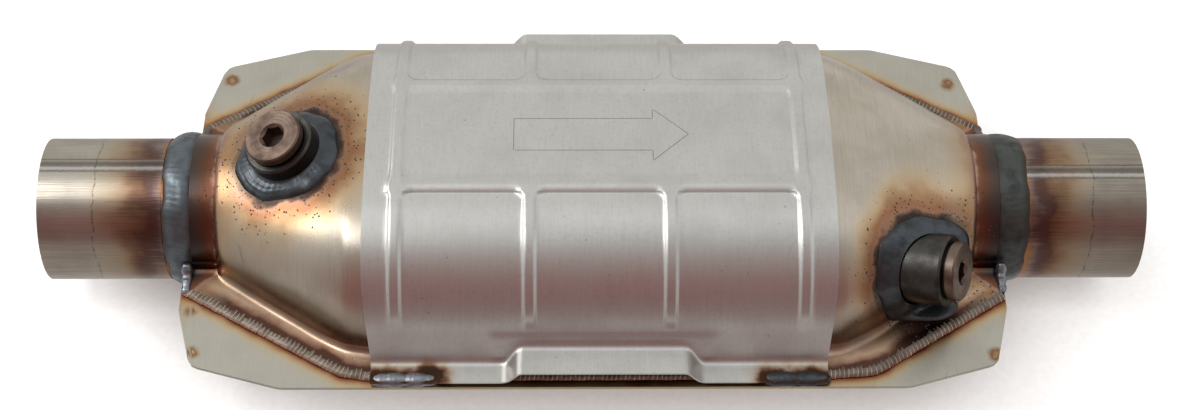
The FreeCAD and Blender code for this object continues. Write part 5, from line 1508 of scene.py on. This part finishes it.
class Converter:
    """The whole converter: its sheet metal, welds, bosses, pipes and the blocks inside."""

    def __init__(self) -> None:
        """Set out the sub-assemblies and the finishes that they share."""
        self.upper = PressedShell(Half.UPPER)
        self.lower = PressedShell(Half.LOWER)
        self.shield = HeatShield()
        lean, roll = math.radians(19.5), math.radians(7.5)
        rise, swing = math.radians(20.3), math.radians(23.1)
        self.bosses = (
            SensorBoss("inlet", (-119.2, -3.0, 39.7),
                       (-math.sin(lean) * math.cos(roll), -math.sin(roll), math.cos(lean) * math.cos(roll)),
                       math.radians(35)),
            SensorBoss("outlet", (128.0, -43.0, 18.7),
                       (math.cos(rise) * math.cos(swing), -math.cos(rise) * math.sin(swing), math.sin(rise)),
                       math.radians(160)),
        )
        # Each weld finish's crest colour is the painted highlight on its ripples' crests
        self.weld_metal = WeldMetal("welded_steel_bead", metallic=0.9, roughness=0.42, colour="#74695F",
                                    crest="#C2B0A0", edge="#8A5A46", scale="#4A4039")
        self.puddle_metal = WeldMetal("scaled_steel_puddle", metallic=0.9, roughness=0.3, colour="#4A4E52",
                                      crest="#858B90", edge="#40383A", scale="#2A2C2D")
        self.collar_metal = {
            End.INLET: WeldMetal("scaled_steel_inlet_collar", metallic=0.9, roughness=0.34, colour="#636A6F",
                                 crest="#9AA1A6", edge="#4A403B", scale="#3C4145"),
            End.OUTLET: WeldMetal("scaled_steel_outlet_collar", metallic=0.9, roughness=0.38, colour="#4E514F",
                                  crest="#7E817E", edge="#40362F", scale="#2F3230")}
        self.bright_weld = WeldMetal("bright_steel_weld", metallic=0.95, roughness=0.32, colour="#8D9096",
                                     crest="#C9CBCE", edge="#6A4632", scale="#5A5F66")

    def build(self) -> None:
        """Make every piece and hand it over."""
        self.dress_shells()
        self.dress_shield()
        self.dress_welds()
        self.dress_bosses()
        self.dress_pipes()
        self.dress_inside()

    def mark_heat(self, piece: bpy.types.Object, shell: PressedShell) -> np.ndarray:
        """Mark how far each point of a shell half is from the seam, the collars, the bosses and the wings' spots.

        Args:
            piece: The half's outer surface.
            shell: Its sizes.

        Returns:
            Each point's distance from the bosses' puddles.
        """
        points = points_of(piece)
        run = np.concatenate([walk(self.upper.seam_run(side), 1.5) for side in Side])
        line = np.concatenate([run, np.zeros((len(run), 1))], axis=1)
        mark(piece, "seam_mm", distance_to(points, line) - BEAD_HALF)
        from_axis = np.hypot(points[:, 1], points[:, 2])
        ends = np.where(points[:, 0] < 0, self.upper.inlet_neck_end, self.upper.outlet_neck_end)
        along = ends - np.abs(points[:, 0]) + np.clip(from_axis - COLLAR_HEAT_RADIUS, 0, FAR_OFF)
        mark(piece, "collar_mm", np.where(from_axis > 60, FAR_OFF, along))
        far = np.full(len(points), FAR_OFF)
        for boss in self.bosses:
            far = np.minimum(far, boss.distance(points))
        mark(piece, "boss_mm", far if shell.half is Half.UPPER else np.full(len(points), FAR_OFF))
        mark(piece, "spot_mm", distance_to(points, np.array([(x, y, -shell.sheet) for x, y in WING_SPOTS])))
        return far

    def dress_shells(self) -> None:
        """Make both shell halves, and mark how far each point is from the welds."""
        # The cone's seam row paints a pale reflection strip and a dark reflected band beside the seam
        cone = TemperedSheet("tempered_stainless_cone", roughness=0.28,
                             tempers=(BOSS_TEMPER, SEAM_TEMPER_AND_REFLECTION, NECK_TEMPER)).material()
        flange = TemperedSheet("tempered_stainless_flange", roughness=0.38, colour="#BDB9AE", dull="#A39D90",
                               tempers=(NECK_TEMPER, WING_TEMPER, SPOT_TEMPER), flecks=0.35).material()
        for shell, material, slot in ((self.upper, cone, "shell_steel"), (self.lower, flange, "flange_steel")):
            piece = shell.surface()
            piece.data.materials.append(material)
            far = self.mark_heat(piece, shell)
            if shell.half is Half.UPPER:
                self.outer_face = add_object("outer_face", piece.data.copy())
                self.nearness = np.clip(1 - far / SPATTER_REACH, 0, 1) ** 2 * (far > -1)
            thicken(piece, shell.sheet)
            hand_over(piece, slot, "{}_shell".format(shell.half.name.lower()))

    def dress_shield(self) -> None:
        """Make the heat shield and the flow arrow on its panel."""
        satin = SatinSheet("rolled_stainless_sheet", roughness=0.34, tempers=(TACK_TEMPER,)).material()
        hand_over(self.shield.build(satin), "shield_steel", "heat_shield")
        scribed = SatinSheet("scribed_stainless_line", roughness=0.5, colour="#8F8E8A", smudge="#7A7873").material()
        hand_over(self.shield.flow_arrow(scribed), "shield_steel")

    def dress_welds(self) -> None:
        """Lay the seam beads, collar beads, corner welds, tack welds and spatter."""
        metal, bright, puddle = (weld.material() for weld in (self.weld_metal, self.bright_weld, self.puddle_metal))
        for side in Side:
            name = side.name.lower()
            hand_over(SeamWeld(side, self.upper).build(metal), "weld_metal", name + "_seam_weld")
        for end, crown, width in ((End.INLET, 31.2, 10.6), (End.OUTLET, 30.2, 12.0)):
            collar = CollarWeld(end, self.upper.neck_end(end), crown, width)
            hand_over(collar.build(self.collar_metal[end].material()), "weld_metal", end.name.lower() + "_pipe_weld")
        for end in End:
            for side in Side:
                name = "{}_{}_corner".format(end.name.lower(), side.name.lower())
                station = end.value * (self.upper.neck_end(end) + 1.7)
                line = [(station, side.value * 31.8, 6.2), (station, side.value * 33.6, 3.4),
                        (station, side.value * 37.0, 1.2), (station, side.value * 42.4, 0.5)]
                weld = ShortWeld(name + "_drops", tuple(line), CORNER_DROPS)
                hand_over(weld.build(bright if side is Side.NEAR else metal), "weld_metal", name + "_weld")
        for middle, across in TACK_PLACES:
            end = End.INLET if middle < 0 else End.OUTLET
            side = Side.NEAR if across < 0 else Side.FAR
            name = "{}_{}_tack".format(side.name.lower(), end.name.lower())
            line = [(middle - 13.4, across, 1.3), (middle, across, 1.3), (middle + 13.4, across, 1.3)]
            weld = ShortWeld(name + "_drops", tuple(line), TACK_DROPS, ripple_height=0.03)
            hand_over(weld.build(bright if end is End.INLET else puddle), "tack_metal", name)
        hand_over(Spatter().build(self.outer_face, self.nearness, puddle), "weld_metal")

    def dress_bosses(self) -> None:
        """Lay the boss welds, and finish the turned bosses, washers and plugs."""
        metal = self.puddle_metal.material()
        for boss in self.bosses:
            hand_over(boss.weld(self.outer_face, metal), "weld_metal", boss.name + "_boss_weld")
            turned = TurnedSteel(boss.name + "_turned_boss_steel", roughness=0.34, centre=boss.seat, axis=boss.axis)
            plug = TurnedSteel(boss.name + "_turned_plug_steel", roughness=0.4, colour="#77665B", stain="#4A3B33",
                               centre=boss.seat, axis=boss.axis, ring=0.7)
            self.finish_node(boss.name + "_sensor_boss", turned)
            self.finish_node(boss.name + "_plug_washer", turned)
            self.finish_node(boss.name + "_boss_plug", plug)
        bpy.data.objects.remove(self.outer_face)

    def dress_pipes(self) -> None:
        """Finish the two pipe stubs."""
        self.finish_node("inlet_pipe", DrawnPipe("drawn_inlet_tube", roughness=0.3, end=-1, weld_edge=169.0,
                                                 mark_station=197.0, seam_turn=90.0))
        self.finish_node("outlet_pipe", DrawnPipe("drawn_outlet_tube", roughness=0.34, end=1, weld_edge=170.5,
                                                  mark_station=198.0, seam_turn=97.0, colour="#A39B8F",
                                                  dull="#766C60"))

    def dress_inside(self) -> None:
        """Finish the ceramic blocks, their mats and mesh rings."""
        for name in ("front", "rear"):
            self.finish_node(name + "_monolith", CoatedCeramic("coated_cordierite_block"))
            self.finish_node(name + "_mat", FibreMat("ceramic_fibre_mat"))
            self.finish_node(name + "_mesh_seal", KnittedWire("knitted_wire_ring"))

    def finish_node(self, name: str, finish: Finish) -> None:
        """Give a carried-over solid its finish."""
        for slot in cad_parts[name].material_slots:
            slot.material = finish.material()
        log.info("%s: finished as %s", name, finish.name)


@dataclass(frozen=True)
class Studio:
    """The pale floor, the soft light and the camera at the photograph's angle."""

    floor_half: float = 4.0
    sky: float = 1.0
    lens: float = 61.05
    sensor: float = 36.0
    # Turn and place of the camera, worked out from the pipes, the flange and the shield
    photo_view: tuple = ((0.99986, 0.00100, -0.01676, -0.01109),
                         (-0.01084, 0.80085, -0.59876, -0.49649),
                         (0.01282, 0.59886, 0.80075, 0.71302),
                         (0.0, 0.0, 0.0, 1.0))

    def floor(self) -> None:
        """Lay the floor that the converter stands on."""
        half = self.floor_half * 1000.0
        corners = np.array([(x, y, -SEAM_LEVEL) for x, y in ((-half, -half), (half, -half), (half, half),
                                                             (-half, half))])
        floor = new_piece("floor", corners, [(0, 1, 2, 3)], PaintedFloor("matt_white_board").material())
        floor.visible_glossy = False

    def world(self) -> None:
        """Surround the scene with soft light: white overhead and behind, warm and dim at the near side."""
        world = bpy.data.worlds.new("soft_room")
        bpy.context.scene.world = world
        world.use_nodes = True
        tree = world.node_tree
        tree.nodes.clear()
        way = add_node(tree, "ShaderNodeTexCoord")
        parts = add_node(tree, "ShaderNodeSeparateXYZ", inputs={"Vector": way.outputs["Generated"]})
        # Nought is straight ahead of the near side, one straight behind
        across = add_node(tree, "ShaderNodeMapRange", inputs={"Value": parts.outputs["Y"], "From Min": -1.0})
        tone = add_node(tree, "ShaderNodeValToRGB", {"stops": (
            (0.0, "#8E7E7E", 1.0), (0.02, "#987474", 1.0), (0.09, "#A07672", 1.0), (0.15, "#A88A86", 1.0),
            (0.22, "#B0A2A1", 1.0), (0.30, "#BEB8B6", 1.0), (0.38, "#DADBDC", 1.0), (0.47, "#F0F2F4", 1.0),
            (0.56, "#FFFFFF", 1.0), (0.64, "#F6F8FA", 1.0), (0.70, "#E6E6E4", 1.0), (1.0, "#E9E9E6", 1.0))},
            {"Fac": across})
        # Below the horizon the near side is paler, as the bench is that the converter stands on
        low = add_node(tree, "ShaderNodeMapRange", inputs={
            "Value": parts.outputs["Z"], "From Min": 0.02, "From Max": -0.22, "To Max": 0.85})
        whole = add_node(tree, "ShaderNodeMix", {"data_type": "RGBA"},
                         {"Factor": low, "A": tone, "B": linear("#C9C4C1")})
        light = add_node(tree, "ShaderNodeBackground", inputs={"Color": whole, "Strength": self.sky})
        add_node(tree, "ShaderNodeOutputWorld", inputs={"Surface": light})

    def softbox(self, name: str, place: tuple, size: tuple[float, float], power: float, shows: bool) -> None:
        """Hang a soft light, aimed at the converter.

        Args:
            name: The light's name.
            place: Where it hangs, in metres.
            size: Its two sides, in metres.
            power: Its power in watts.
            shows: Whether metal mirrors it.
        """
        light = bpy.data.lights.new(name, "AREA")
        light.shape = "RECTANGLE"
        light.size, light.size_y = size
        light.energy = power
        lamp = add_object(name, light)
        lamp.location = place
        lamp.rotation_euler = (Vector((0.0, 0.0, 0.05)) - Vector(place)).to_track_quat("-Z", "Y").to_euler()
        lamp.visible_glossy = shows

    def camera(self) -> None:
        """Put the camera where the photograph was taken from."""
        lens = bpy.data.cameras.new("photo_camera")
        lens.lens = self.lens
        lens.sensor_width = self.sensor
        lens.sensor_fit = "HORIZONTAL"
        lens.dof.use_dof = False
        camera = add_object("photo_camera", lens)
        camera.matrix_world = Matrix(self.photo_view)
        bpy.context.scene.camera = camera

    def build(self) -> None:
        """Set up the whole studio."""
        self.floor()
        self.world()
        self.camera()
        self.softbox("floor_fill", (0.0, -1.4, 2.3), (2.6, 2.0), power=60.0, shows=False)
        self.softbox("left_key", (-1.1, 0.2, 0.8), (0.6, 0.6), power=5.0, shows=True)
        self.softbox("left_top", (-0.55, -0.12, 1.1), (0.5, 0.26), power=1.6, shows=True)
        view = bpy.context.scene.view_settings
        view.view_transform = "Standard"
        view.look = "None"


def main() -> None:
    """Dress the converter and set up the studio."""
    logging.basicConfig(level=logging.INFO, format="%(name)s %(message)s")
    Studio().build()
    Converter().build()


if __name__ == "__main__":
    main()
